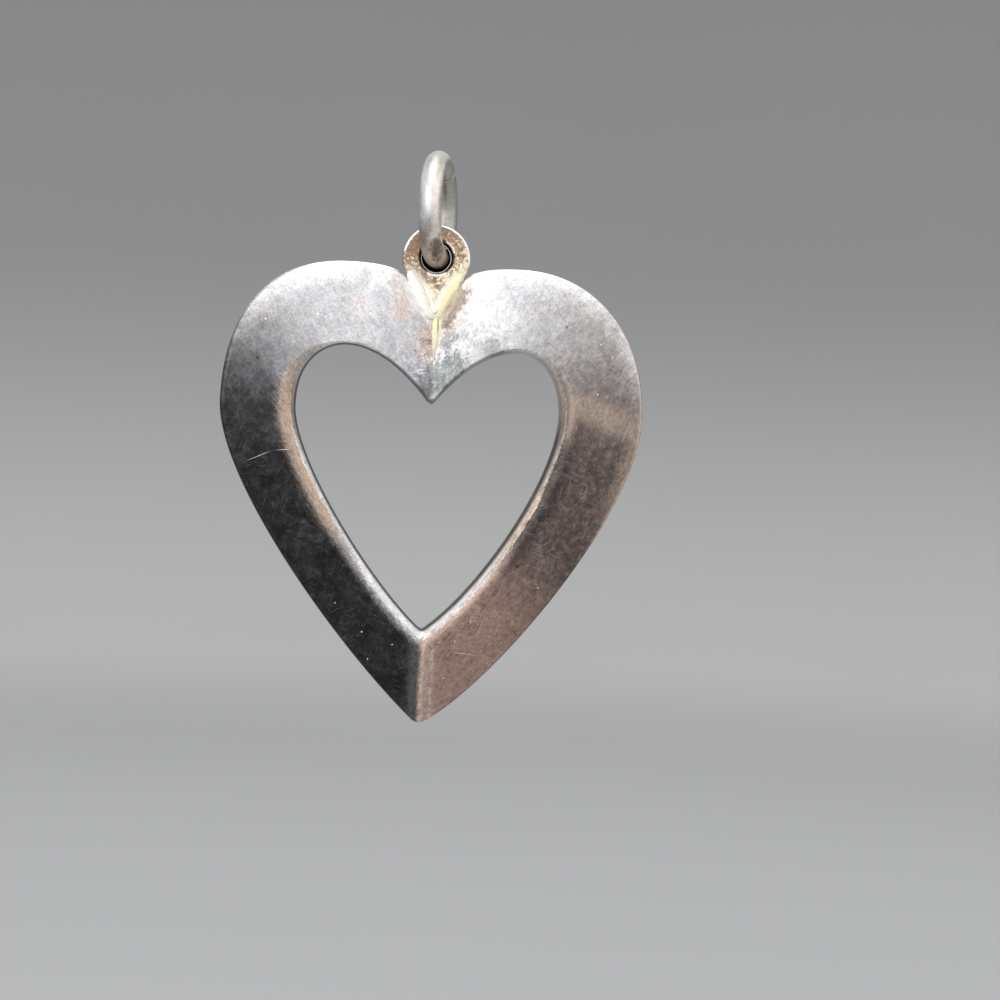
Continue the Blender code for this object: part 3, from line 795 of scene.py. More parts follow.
def heart_silver(finish):
    """Silver: bright lobes, tarnish with painted shade on the left flank and with a painted reflection on the
    right.
    """
    sh = Shader("heart_silver_tarnish_and_painted_light")
    across, run, lobe = sh.mark("across"), sh.mark("run"), sh.mark("lobe")
    x, _, z = sh.split(sh.in_mm())
    up = z - BACK_LOW.z / MM
    cloud = sh.noise(3.4, 3, 0.55, 1)
    patch = sh.noise(1.1, 4, 0.6, 2)
    mottle = sh.noise(0.42, 5, 0.72, 3)
    grain = sh.noise(0.13, 3, 0.7, 4)
    cloudy, patchy, mottled, grainy = centred(cloud, patch, mottle, grain)
    brushed_left = sh.noise(0.5, 4, 0.7, 7, turn=0.6, stretch=(5, 1, 0.8))
    brushed_right = sh.noise(0.5, 4, 0.7, 8, turn=-0.6, stretch=(5, 1, 0.8))
    waver = cloudy * 4.0 + patchy * 2.0 + mottled * 1.4
    on_right = (x + mottled * 0.3).between(-0.26, 0.08)
    on_left = 1 - on_right
    brushed = brushed_left * on_left + brushed_right * on_right
    brush = brushed - 0.5

    # Lobes: painted highlight at the rim, painted shade on the left, darker towards the opening, lilac and
    # blush films
    rim = (across + patchy * 0.3).between(0.42, 0.04) * run.between(39.8, 38.2)
    lobes = sh.mix(run.between(37.5, 35.5) * on_left * 0.85, finish.silver, finish.pewter)
    lobes = sh.mix(rim, lobes, finish.polish_and_highlight)
    lobes = sh.mix((across + patchy * 0.4).between(0.45, 1.15) * 0.75, lobes, finish.pewter)
    lobes = sh.mix(sh.noise(1.7, 5, 0.65, 5).between(0.46, 0.68) * 0.6, lobes, finish.lilac)
    lobes = sh.mix(sh.noise(1.3, 5, 0.65, 6).between(0.50, 0.70) * 0.55, lobes, finish.blush)

    # Flanks: charcoal with slate mottling on the left, umber turning to rosewood at the tip on the right
    # The flanks' tints are tarnish with painted shade on the left and with a painted reflection on the right
    left = sh.mix(patch.between(0.40, 0.70) * 0.4 + mottle.between(0.45, 0.70) * 0.4,
                  finish.charcoal, finish.slate)
    right = sh.mix((run + waver * 1.2).between(13.0, 5.0), finish.umber, finish.rosewood)
    right = sh.mix(mottle.between(0.42, 0.72) * 0.4, right, finish.rosewood)
    right = sh.mix((mottle * 0.6 + brushed * 0.4).between(0.48, 0.36) * 0.3, right, finish.slate)
    on_lobe = run.between(23.0, 28.0)
    near_rim = (0.14 - across).highest(0) * 35 * (1 - on_lobe)
    near_rim = near_rim + (0.3 - across).highest(0) * 24 * on_lobe
    # Where the flanks' tarnish and painted shade take over from the lobes
    dark_left = (run + waver).between(36.3, 22.3)
    dark_right = (run + near_rim + waver).between(38.0, 20.5)
    dark = dark_left * on_left + dark_right * on_right
    tint = sh.mix(dark, lobes, sh.mix(on_right, left, right))
    for middle, radii, turn, much, name in STAINS:
        blot = sh.blot(x, up, middle, radii, turn, patchy * 1.2 + mottled * 1.8)
        tint = sh.mix(blot * much, tint, getattr(finish, name))

    # Painted shade as a thin brown line along the flanks' rim; a painted highlight line and a warm band on
    # the right
    fine = across + grainy * 0.05
    rim_highlight = on_right * (run + waver * 0.4).between(13.5, 17.5) * run.between(33.0, 28.0)
    tint = sh.mix(fine.between(0.075, 0.02) * dark * 0.6 * (1 - rim_highlight), tint, finish.umber)
    hem = (run + waver * 0.4).between(15.5, 18.5) * run.between(25.0, 21.0)
    hem = on_right * hem * (across + patchy * 0.3).between(0.34, 0.1)
    tint = sh.mix(hem * 0.45, tint, finish.tan)
    tint = sh.mix(rim_highlight * fine.between(0.105, 0.05) * 0.75, tint, finish.peach)

    # Opening's shoulder: painted highlight towards its edge, tan painted reflection at the sides, painted
    # shade on the right
    edge = across + brush * 0.4 + grainy * 0.16 - on_right * 0.07
    highlight_run = run + waver * 0.5
    highlight_span = highlight_run.between(21.0, 14.5) * on_left + highlight_run.between(17.5, 10.0) * on_right
    at_foot = run.between(14.0, 10.0) * on_left
    browned = on_right * (0.75 + run.between(9, 15) * run.between(23, 19) * 0.2)
    # Tan on the shoulder is a painted reflection; umber on the right and pewter at the foot
    film = sh.mix(at_foot * 0.8, sh.mix(browned, finish.tan, finish.umber), finish.pewter)
    late = edge - on_right * 0.1
    bright = on_left * (0.55 + run.between(12.0, 7.0) * 0.45) + on_right * (0.8 + run.between(7.0, 3.0) * 0.2)
    from_foot = run.between(7.0, 12.0)
    late = late - from_foot * (0.3 - on_right * 0.22)
    painted_sheen = sh.mix(late.between(1.15, 1.6) * highlight_span * bright, film, finish.polish_and_highlight)
    painted_sheen = sh.mix(edge.between(1.5, 1.72) * (0.2 + run.between(22, 19) * 0.65), painted_sheen, finish.polish_and_highlight)
    narrow = on_right * run.between(7.0, 11.0) * run.between(22.5, 19.5) * 0.36
    lower = run.between(17.5, 14.5)
    shadow = narrow * 2.7 * edge.between(0.72, 1.05) * edge.between(1.72 - lower * 0.12, 1.5 - lower * 0.1)
    tint = sh.mix((edge - at_foot * 0.1 - narrow).between(0.9, 1.42) * (1 - lobe) * 0.94, tint, painted_sheen)
    tint = sh.mix(shadow * 0.72, tint, finish.charcoal)
    # A narrow painted highlight in peach at the right shoulder's edge
    inner = on_right * edge.between(1.45 - lower * 0.11, 1.68 - lower * 0.14) * run.between(7.0, 10.0)
    tint = sh.mix(inner * run.between(33.0, 28.0) * (0.6 + lower * 0.15), tint, finish.peach)
    # A painted highlight along the shoulder's edge under the lobes
    lobe_end = run.between(39.5, 37.5) * on_left + run.between(38.0, 35.5) * on_right
    tint = sh.mix(edge.between(1.1, 1.5) * lobe * lobe_end * 0.65, tint, finish.polish_and_highlight)

    # Ridge between the tip and the opening: a painted highlight as a beige facet with two pale lines, painted
    # shade on its left
    streak = sh.noise(0.3, 4, 0.7, 9, stretch=(4, 1, 0.5))
    beside = x + (streak - 0.5) * 0.35
    low = (up + (streak - 0.5) * 0.8).between(5.0, 4.3)
    facet = beside.between(-0.3, 0.1) * beside.between(1.1, 0.55) * low
    tint = sh.mix(facet * (0.25 + streak.between(0.40, 0.62) * 0.3), tint, finish.peach)
    strip = beside.between(-0.95, -0.45) * beside.between(-0.05, -0.25) * low
    tint = sh.mix(strip * 0.22, tint, finish.pewter)
    line = beside.between(-0.08, 0.05) * beside.between(0.24, 0.08)
    line = line + beside.between(0.5, 0.62) * beside.between(0.8, 0.66) * 0.8
    tint = sh.mix(line * low * mottle.between(0.36, 0.56) * 0.6, tint, finish.tab_peach)

    # Wall of the opening: dull silver darkened by painted shade, with less of it high on the right
    wall = across.between(2.16 - lobe * 0.16, 2.36 - lobe * 0.26)
    less_wall_shade = on_right * run.between(20.5, 23.5) * 0.7
    tint = sh.mix(wall * (1 - less_wall_shade), tint, finish.wall_shade_grey)

    valley = sh.blot(x, up, (0.3, 21.5), (2.6, 3.2))
    shade = 0.97 + mottled * (0.9 + valley * 0.8) + grainy * (1.1 + valley) + brush * 0.8
    tint = sh.mix(1.0, tint, shade, "MULTIPLY")
    lines = sh.scratches((0.3, 1.2, 2.1, 2.8), 0.05, 3.0, 0.64)
    lines = lines.highest(sh.scratches((0.7, 1.7, 2.5), 0.045, 0.7, 0.66))
    # White specks at random, and the painted glints
    glint = (sh.specks(0.8, 0.09, 0.22, 1) * 0.8).highest(sh.blots(x, up, GLINTS, grainy * 0.8))
    tint = sh.mix((lines * (0.08 + on_right * 0.1) + glint).clip(), tint, finish.polish_and_highlight)
    pits = sh.specks(1.3, 0.09, 0.25, 5)
    tint = sh.mix(pits * 0.7, tint, finish.soot_and_shade)

    roughness = 0.31 + mottled * 0.2 + wall * 0.2
    height = mottle * 0.5 + grain * 0.6 + brushed * 0.3 - lines * 0.6 - pits * 0.5
    normal = sh.bumped(height, 0.012, 0.6)
    return sh.finish(tint, roughness, normal)


def plate_silver(finish):
    """Plain satin silver with long polishing lines and a thin uneven tarnish."""
    sh = Shader("satin_plate_silver")
    cloud = sh.noise(4.0, 4, 0.6, 21)
    mottle = sh.noise(0.5, 4, 0.6, 22)
    lines = sh.scratches((0.5, 0.7, 1.9, 2.6), 0.04, 4.0, 0.62)
    tint = sh.mix(cloud.between(0.42, 0.66), finish.silver, finish.blush)
    haze = sh.noise(1.4, 5, 0.65, 23, turn=0.5, stretch=(3, 1, 1))
    tint = sh.mix(haze.between(0.48, 0.78) * 0.25, tint, finish.slate)
    tint = sh.mix(mottle.between(0.6, 0.8) * 0.25, tint, finish.slate)
    tint = sh.mix(1.0, tint, 1.0 + (haze - 0.5) * 0.35 + (mottle - 0.5) * 0.3, "MULTIPLY")
    tint = sh.mix(lines * 0.4, tint, finish.silver)
    normal = sh.bumped(mottle * 0.4 - lines, 0.01, 0.5)
    return sh.finish(tint, 0.3 + mottle * 0.2, normal)


def tab_silver(finish):
    """Silver browned by the solder's heat: granular, lighter on the right and at the foot, with painted light
    and shade.
    """
    sh = Shader("tab_silver_browned_and_painted_light")
    x, _, z = sh.split(sh.in_mm())
    up = z - BACK_LOW.z / MM
    patch = sh.noise(0.6, 4, 0.65, 41)
    mottle = sh.noise(0.2, 4, 0.7, 42)
    grain = sh.noise(0.09, 3, 0.7, 43)
    patchy, mottled, grainy = centred(patch, mottle, grain)
    light = (x * 0.2 + (26.9 - up) * 0.3 + patchy * 2.2 + mottled * 3.4).between(-0.5, 0.8)
    tint = sh.mix(light, finish.tab_brown, finish.tab_peach)
    pit = sh.blots(x, up, TAB_PITS, mottled * 1.2)
    tint = sh.mix(pit * 0.9, tint, finish.solder_olive)
    tint = sh.mix(1.0, tint, 0.95 + mottled * 1.6 + grainy * 1.8, "MULTIPLY")
    tint = sh.mix(sh.specks(0.24, 0.42, 0.5, 44) * 0.65, tint, finish.tab_peach)
    tint = sh.mix(sh.specks(0.3, 0.4, 0.4, 45) * 0.4, tint, finish.umber)
    bloom = sh.blots(x, up, TAB_BLOOMS, mottled * 1.5)
    tint = sh.mix(bloom * 0.75, tint, finish.solder_highlight)
    # Painted highlights and reflections on the tab's edges, and painted shade in its hole
    wear_and_highlight, hole_shade = sh.mark("wear_and_highlight"), sh.mark("hole_shade")
    tint = sh.mix((wear_and_highlight + mottled * 0.5).between(0.35, 0.75), tint, finish.polish_and_highlight)
    tint = sh.mix(hole_shade.between(0.2, 0.8), tint, finish.soot_and_shade)
    normal = sh.bumped(patch * 0.5 + mottle * 0.6 + grain * 0.4 - pit * 1.5, 0.025, 0.7)
    return sh.finish(tint, 0.40 + mottled * 0.3, normal)


def ring_silver(finish):
    """Drawn silver wire: grey with painted shade at top and rear, blush painted light on its right, browned
    in the hole.
    """
    sh = Shader("drawn_ring_silver")
    x, y, z = sh.split(sh.in_mm())
    cloud = sh.noise(1.2, 3, 0.55, 61)
    mottle = sh.noise(0.3, 4, 0.65, 62)
    grain = sh.noise(0.1, 3, 0.7, 63)
    cloudy, mottled, grainy = centred(cloud, mottle, grain)
    pale = (x + cloudy * 0.8).between(-1.0, -0.3)
    tint = sh.mix(pale, finish.silver, finish.ring_blush_and_sheen)
    # Painted shade in greenish grey on the rear leg and at the top
    tint = sh.mix((y + cloudy * 1.0).between(-0.6, 1.4) * 0.9, tint, finish.ring_grey_and_shade)
    tint = sh.mix((z + cloudy * 1.0).between(-0.9, 0.5) * 0.85, tint, finish.ring_grey_and_shade)
    low = (z + cloudy * 1.4).between(-3.2, -5.0)
    to_left = (x - (z + 4.0) * 0.35 + mottled * 0.5).between(-0.5, -0.95)
    tint = sh.mix((low * (0.25 + to_left * 0.4)).clip() * 0.85, tint, finish.ring_brown)
    tint = sh.mix(to_left * (z + mottled).between(-2.8, -4.2) * 0.5, tint, finish.ring_brown)
    tint = sh.mix(low.between(0.5, 1.0) * 0.35, tint, finish.tan)
    tint = sh.mix(sh.blot(x, z, (-0.12, -4.7), (0.5, 0.8), 0, mottled * 2) * 0.8, tint, finish.ring_brown)
    # Bright spots where the ring wears in the hole, partly painted highlights
    wear_and_highlight = sh.blots(x, z, RING_BRIGHT_SPOTS, mottled * 1.2)
    tint = sh.mix(1.0, tint, 0.97 + mottled * 0.7 + grainy * 0.7, "MULTIPLY")
    tint = sh.mix(wear_and_highlight * 0.8, tint, finish.peach)
    normal = sh.bumped(mottle * 0.6 + grain * 0.5, 0.010, 0.6)
    return sh.finish(tint, 0.40 + low * 0.2 + mottled * 0.2, normal)


def pale_solder(finish):
    """Pale yellow solder: painted highlight on the left arm, olive painted shade in the stem's crease, fading
    at its end.
    """
    sh = Shader("pale_solder")
    x, _, z = sh.split(sh.in_mm())
    up = z - BACK_LOW.z / MM
    patch = sh.noise(0.5, 4, 0.6, 81)
    grain = sh.noise(0.12, 4, 0.65, 82)
    patchy, grainy = centred(patch, grain)
    left_arm_highlight = (0.1 - x + patchy * 1.6).between(-0.15, 0.5)
    tint = sh.mix(left_arm_highlight * up.between(23.9, 24.3), finish.solder, finish.solder_highlight)
    on_stem = (up + patchy * 1.0).between(24.4, 23.6)
    tint = sh.mix(grain.between(0.5, 0.62) * on_stem * 0.7, tint, finish.tan)
    # Olive painted shade in the stem's crease
    crease = sh.blot(x, up, (0.24, 23.65), (0.07, 0.75), 0, grainy * 1.2)
    dull = grain.between(0.56, 0.74) * 0.5
    tint = sh.mix(crease.highest(dull) * 0.8, tint, finish.solder_olive)
    fade = (up + patchy * 1.8 + grainy * 2.2).between(23.6, 21.9)
    tint = sh.mix(fade * 0.9, tint, finish.blush)
    # Outside the middle line of an arm the solder thins out into silver, and inside it into the tab
    outside = (x.math("ABSOLUTE") - 0.1) * ARM_OUT[0] - (up - 24.2) * ARM_OUT[1] + patchy * 0.9 + grainy * 0.8
    on_arm = up.between(24.0, 24.8)
    on_right = x.between(-0.2, 0.2)
    thin = (outside + on_right * 0.3).between(0.2, 0.75) * on_arm
    tint = sh.mix(thin * 0.85, tint, sh.mix(on_right, finish.silver, finish.tan))
    tint = sh.mix(outside.between(-0.05, -0.4) * on_arm * 0.85, tint, finish.tab_peach)
    tint = sh.mix(1.0, tint, 0.98 + grainy * 0.9 * (0.35 + thin * 0.65), "MULTIPLY")
    normal = sh.bumped(grain * 0.6 + patch * 0.6 - crease, 0.02, 0.7)
    return sh.finish(tint, 0.5 + grainy * 0.3, normal, metallic=0.6)


def studio_grey(stage, floor_z):
    """Matt, pale and very slightly uneven paint, lighter at the bend and darkened up the wall as painted
    shade.
    """
    sh = Shader("studio_grey")
    uneven = sh.noise(90, 2, 0.5, 91)
    height = sh.split(sh.in_mm())[2] - floor_z / MM
    tint = sh.mix(height.between(0.5, 14), stage.floor, stage.bend)
    tint = sh.mix(height.between(10, 150), tint, stage.wall)
    tint = sh.mix(1.0, tint, 0.985 + uneven * 0.03, "MULTIPLY")
    return sh.finish(tint, 0.9, metallic=0.0)


# Operators

SHARP_FROM = 40
WIRE_SHARP_FROM = 50


def settings():
    """All sizes and colours, by the names of their groups."""
    scene = bpy.context.scene
    return {name.removeprefix("pendant_"): getattr(scene, name) for name in GROUPS}


def stand_for(item, node, body, material, sharp_from=None):
    """Gives a finished piece its material and lets it stand for a node and ride on its body.

    Edges where its faces meet at more than the angle sharp_from, in degrees, are shaded sharp.
    """
    if not len(item.data.polygons):
        raise RuntimeError(f"no surface was made for {node}")
    if sharp_from:
        item.data.set_sharp_from_angle(angle=math.radians(sharp_from))
    item.data.materials.append(material)
    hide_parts(node)
    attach(item, body)


class PENDANT_OT_front_shell(Operator):
    """Build the heart's sloped front shell"""

    bl_idname = "pendant.front_shell"
    bl_label = "Front Shell"

    def execute(self, context):
        s = settings()

        def unevenness(across, up, bends):
            on_slope = np.clip(np.minimum(bends - 0.1, 1.25 - bends) / 0.25, 0, 1)
            return s["shell"].wobble * on_slope * waves(across, up, 5, 5 * MM)

        heart = Heart(s["outline"])
        bends = shell_profile(heart.halves[0], s["shell"])[2]
        grid = heart.swept(shell_profile, s["shell"], unevenness)
        item = surface("silver_front_shell", grid, marks={
            "across": bends[None],
            "run": heart.whole(*(half.run for half in heart.halves))[:, None] / MM,
            "lobe": heart.whole(*(half.lobe_share for half in heart.halves))[:, None],
        })
        stand_for(item, "front_shell", "heart", heart_silver(s["finish"]), SHARP_FROM)
        return {"FINISHED"}


class PENDANT_OT_back_plate(Operator):
    """Build the flat plate that closes the shell"""

    bl_idname = "pendant.back_plate"
    bl_label = "Back Plate"

    def execute(self, context):
        s = settings()
        item = surface("silver_back_plate", Heart(s["outline"]).swept(plate_profile, s["shell"]))
        stand_for(item, "back_plate", "heart", plate_silver(s["finish"]), SHARP_FROM)
        return {"FINISHED"}


def tab_reach(turns, outline, tab, gap):
    """Distance from the disc's middle to the tab's edge at each angle, with the V foot in the notch.

    It is the disc's radius or, where the foot lies, the distance to the lobes' outline less a gap.
    """
    half = Half(outline, 1)
    start = STRETCH_STEPS[0] + STRETCH_STEPS[1]
    lobe = half.outer[start:] + half.out_way[start:] * gap
    across = round_corner(lobe[:, 0], half.outer_round[start:])
    notch = outline.flank_height + outline.lobe_rise - outline.notch_depth
    middle = notch + tab.rise
    reach = np.hypot(across, lobe[:, 1] - middle)
    nearest = int(np.argmin(reach))
    foot_turns = np.arctan2(across[nearest:], middle - lobe[nearest:, 1])
    folded = np.abs((turns + math.pi / 2 + math.pi) % math.tau - math.pi)
    order = np.argsort(foot_turns)
    on_foot = np.interp(folded, foot_turns[order], reach[nearest:][order])
    return np.where(folded < foot_turns.max(), on_foot, tab.radius), middle


def arc(turns, middle, half, soft):
    """1 within half an arc of a middle, in degrees, and a smooth step to 0 over the soft degrees beyond."""
    away = np.abs((np.degrees(turns) - middle + 180) % 360 - 180)
    share = np.clip((half + soft - away) / soft, 0, 1)
    return share * share * (3 - 2 * share)


def smooth_round(values, reach):
    """Values round a circle, each the mean of its neighbours with bell-shaped weights."""
    offsets = np.arange(-3 * reach, 3 * reach + 1)
    weights = np.exp(-(offsets / reach) ** 2 / 2)
    weights /= weights.sum()
    return sum(w * np.roll(values, o) for w, o in zip(weights, offsets))


TAB_SIDES = 720
LIP_STEP = 0.002  # mm by which the lip's dark inner edge stands in from its light one


class PENDANT_OT_eyelet_tab(Operator):
    """Build the holed tab that is let into the notch"""

    bl_idname = "pendant.eyelet_tab"
    bl_label = "Eyelet Tab"

    def execute(self, context):
        s = settings()
        tab = s["tab"]
        turns = np.linspace(-math.pi / 2, 1.5 * math.pi, TAB_SIDES, endpoint=False)
        reach, middle = tab_reach(turns, s["outline"], tab, s["shell"].solder_film)
        reach = np.minimum(smooth_round(reach, 3), reach)[:, None]
        back, front = tab.lift, tab.lift + tab.thickness
        turn = quarter(7)[None]
        face = np.linspace(0, 1, 20)[None]
        lip_top = back + tab.lip_thickness
        soft = tab.edge * 0.6
        inner = tab.bore + tab.edge
        around = turns[:, None]
        # At the hole's foot a web, painted as shade, closes the hole behind the lip
        web = tab.lip - tab.web * arc(around, -90, 95, 45)
        # Painted highlights on the rim at upper right and upper left, and on the bore's chamfer at its foot
        # and upper right
        tab_rim_highlight = np.maximum(arc(around, 38, 40, 14), arc(around, 142, 22, 12))
        bore_highlight = np.maximum(0.75 * arc(around, -90, 26, 14), arc(around, 37, 20, 6))
        early, late = tab.edge * (1 - np.cos(turn)), tab.edge * (1 - np.sin(turn))
        # The section, from the lip's foot up the bore, over the face and round behind: radius, height above
        # # the heart's back, painted shade and painted highlight
        parts = [
            (web, back, 1.0, 0),
            (tab.lip - LIP_STEP * MM, lip_top - soft * 0.6, 1.0, 0),
            # A light line of painted reflection along the lip's edge
            (tab.lip, lip_top - soft / 2, 0.0, 0.7),
            (tab.lip + soft / 2, lip_top, 0.0, 0.9),
            (tab.lip + soft * 0.9, lip_top, 0.0, 0.9),
            (tab.lip + soft * 1.1, lip_top, 1.0, 0),
            (tab.bore, lip_top, 1.0, 0),
            (tab.bore, back + tab.thickness * 0.8, 1.0, 0),
            (tab.bore + early, front - late, 0.5 * (1 - bore_highlight), bore_highlight),
            (inner + (reach - tab.edge - inner) * face[:, 1:-1], front, 0.0, 0),
            (reach - late, front - early, 0.0, tab_rim_highlight),
            (reach - early, back + late, 0.0, tab_rim_highlight * 0.3),
            (tab.lip + (reach - tab.edge - tab.lip) * (1 - face[:, 1:-1]), back, 0.0, 0),
        ]

        def laid(k):
            """The numbers of one kind of all parts, side by side and one row for each angle."""
            shapes = [(len(turns), np.atleast_2d(part[0]).shape[1]) for part in parts]
            return np.concatenate([np.broadcast_to(part[k], shape) for part, shape in zip(parts, shapes)], 1)

        radius, height, hole_shade, wear_and_highlight = (laid(k) for k in range(4))
        # The hole lies a little above the disc's middle, and the section slides from one to the other
        slide = np.clip((reach - radius) / np.maximum(reach - inner, 1e-9), 0, 1) * tab.hole_rise
        across = radius * np.cos(turns)[:, None]
        up = radius * np.sin(turns)[:, None] + middle + slide
        grid = place_in_frame(across, up, height)
        item = surface("silver_eyelet_tab", grid, marks={"hole_shade": hole_shade, "wear_and_highlight": wear_and_highlight})
        stand_for(item, "eyelet_tab", "heart", tab_silver(s["finish"]), SHARP_FROM)
        return {"FINISHED"}


RING_STEPS = 360
WIRE_SIDES = 72
WIRE_END_ROUND = 0.12  # share of the wire's radius


class PENDANT_OT_jump_ring(Operator):
    """Build the loose ring of round wire"""

    bl_idname = "pendant.jump_ring"
    bl_label = "Jump Ring"

    def execute(self, context):
        s = settings()
        ring = s["ring"]
        circle = ring.outer_radius - ring.wire_radius
        half_gap = ring.gap / 2 / circle
        turns = ring.gap_angle + half_gap + (math.tau - 2 * half_gap) * np.linspace(0, 1, RING_STEPS + 1)
        bend = quarter(6)
        soft = WIRE_END_ROUND * ring.wire_radius
        # Rounded ends: the wire's radius falls over the last soft stretch, and then closes on its middle
        tail_turn = soft * (1 - np.sin(bend)) / circle
        tail_radius = ring.wire_radius - soft * (1 - np.cos(bend))
        start = turns[0] + tail_turn[::-1]
        end = turns[-1] - tail_turn
        keep = (turns > start.max() + 1e-4) & (turns < end.min() - 1e-4)
        along = np.concatenate([[turns[0]], start, turns[keep], end, [turns[-1]]])
        full = np.full(keep.sum(), ring.wire_radius)
        radius = np.concatenate([[0], tail_radius[::-1], full, tail_radius, [0]])
        round_wire = np.linspace(0, math.tau, WIRE_SIDES, endpoint=False)
        reach = circle + radius[:, None] * np.cos(round_wire)
        sideways = radius[:, None] * np.sin(round_wire)
        forward = reach * np.cos(along)[:, None]
        up = reach * np.sin(along)[:, None]
        middle = (RING_LOW + RING_HIGH) / 2
        x = sideways * math.cos(ring.yaw) - forward * math.sin(ring.yaw) + middle.x
        y = sideways * math.sin(ring.yaw) + forward * math.cos(ring.yaw) + middle.y
        grid = np.stack([x, y, up + middle.z], -1)
        item = surface("silver_jump_ring", grid, wrap_rows=False)
        stand_for(item, "jump_ring", "ring", ring_silver(s["finish"]), WIRE_SHARP_FROM)
        return {"FINISHED"}


BEAD_SIDES = 28
BEAD_DEPTH = 2.2  # depth of a bead's lower half against its height


def bead_grid(path, half_widths, heights, tilt):
    """A flattened bead: an ellipse at each point of a path, facing out of the heart and up by a tilt.

    Its lower half is deeper than its upper half, so that it reaches into the metal on which it lies.
    """
    along = np.gradient(path, axis=0)
    along /= np.linalg.norm(along, axis=1, keepdims=True)
    out = np.array([0.0, -math.cos(tilt), math.sin(tilt)])
    side = np.cross(along, out)
    side /= np.linalg.norm(side, axis=1, keepdims=True)
    lift = np.cross(side, along)
    turns = np.linspace(0, math.tau, BEAD_SIDES, endpoint=False)
    above = np.where(np.sin(turns) < 0, BEAD_DEPTH, 1.0) * np.sin(turns)
    return (
        path[:, None]
        + side[:, None] * (half_widths[:, None] * np.cos(turns))[..., None]
        + lift[:, None] * (heights[:, None] * above)[..., None]
    )


# The solder's beads: across the centre line and up from the notch, and half the width, in mm
LEFT_ARM = (
    (-1.66, 2.66, 0.24), (-1.45, 2.40, 0.32), (-1.2, 2.0, 0.36), (-0.82, 1.25, 0.39), (-0.46, 0.6, 0.38),
    (-0.16, 0.15, 0.34), (0.06, -0.12, 0.26),
)
RIGHT_ARM = (
    (1.60, 2.66, 0.2), (1.38, 2.34, 0.29), (1.04, 1.85, 0.31), (0.76, 1.3, 0.31), (0.52, 0.75, 0.30),
    (0.36, 0.2, 0.30), (0.26, -0.25, 0.26),
)
STEM = (
    (0.12, 0.1, 0.30), (0.21, -0.5, 0.33), (0.17, -1.0, 0.28), (0.10, -1.5, 0.20), (0.05, -2.0, 0.13),
    (0.03, -2.5, 0.08), (0.0, -2.9, 0.04),
)
BEAD_STEPS = 60
FILLET_WAY = (0.85, 0.53)  # outwards and down from an arm
FILLET_HALF_WIDTH = 0.36
THINNEST = 1e-6  # metres, so that no bead closes to nothing before its end
SKIN_VOXEL = 0.035  # mm
SKIN_SMOOTHING = 16


def smooth_path(points, count):
    """Points of a Catmull-Rom curve through rows of numbers, evenly shared out between them."""
    rows = np.array(points)
    padded = np.concatenate([2 * rows[:1] - rows[1:2], rows, 2 * rows[-1:] - rows[-2:-1]])
    t = np.linspace(0, len(rows) - 1, count)
    k = np.minimum(t.astype(int), len(rows) - 2)
    s = (t - k)[:, None]
    a, b, c, d = (padded[k + i] for i in range(4))
    return b + s / 2 * (c - a + s * (2 * a - 5 * b + 4 * c - d + s * (3 * (b - c) + d - a)))


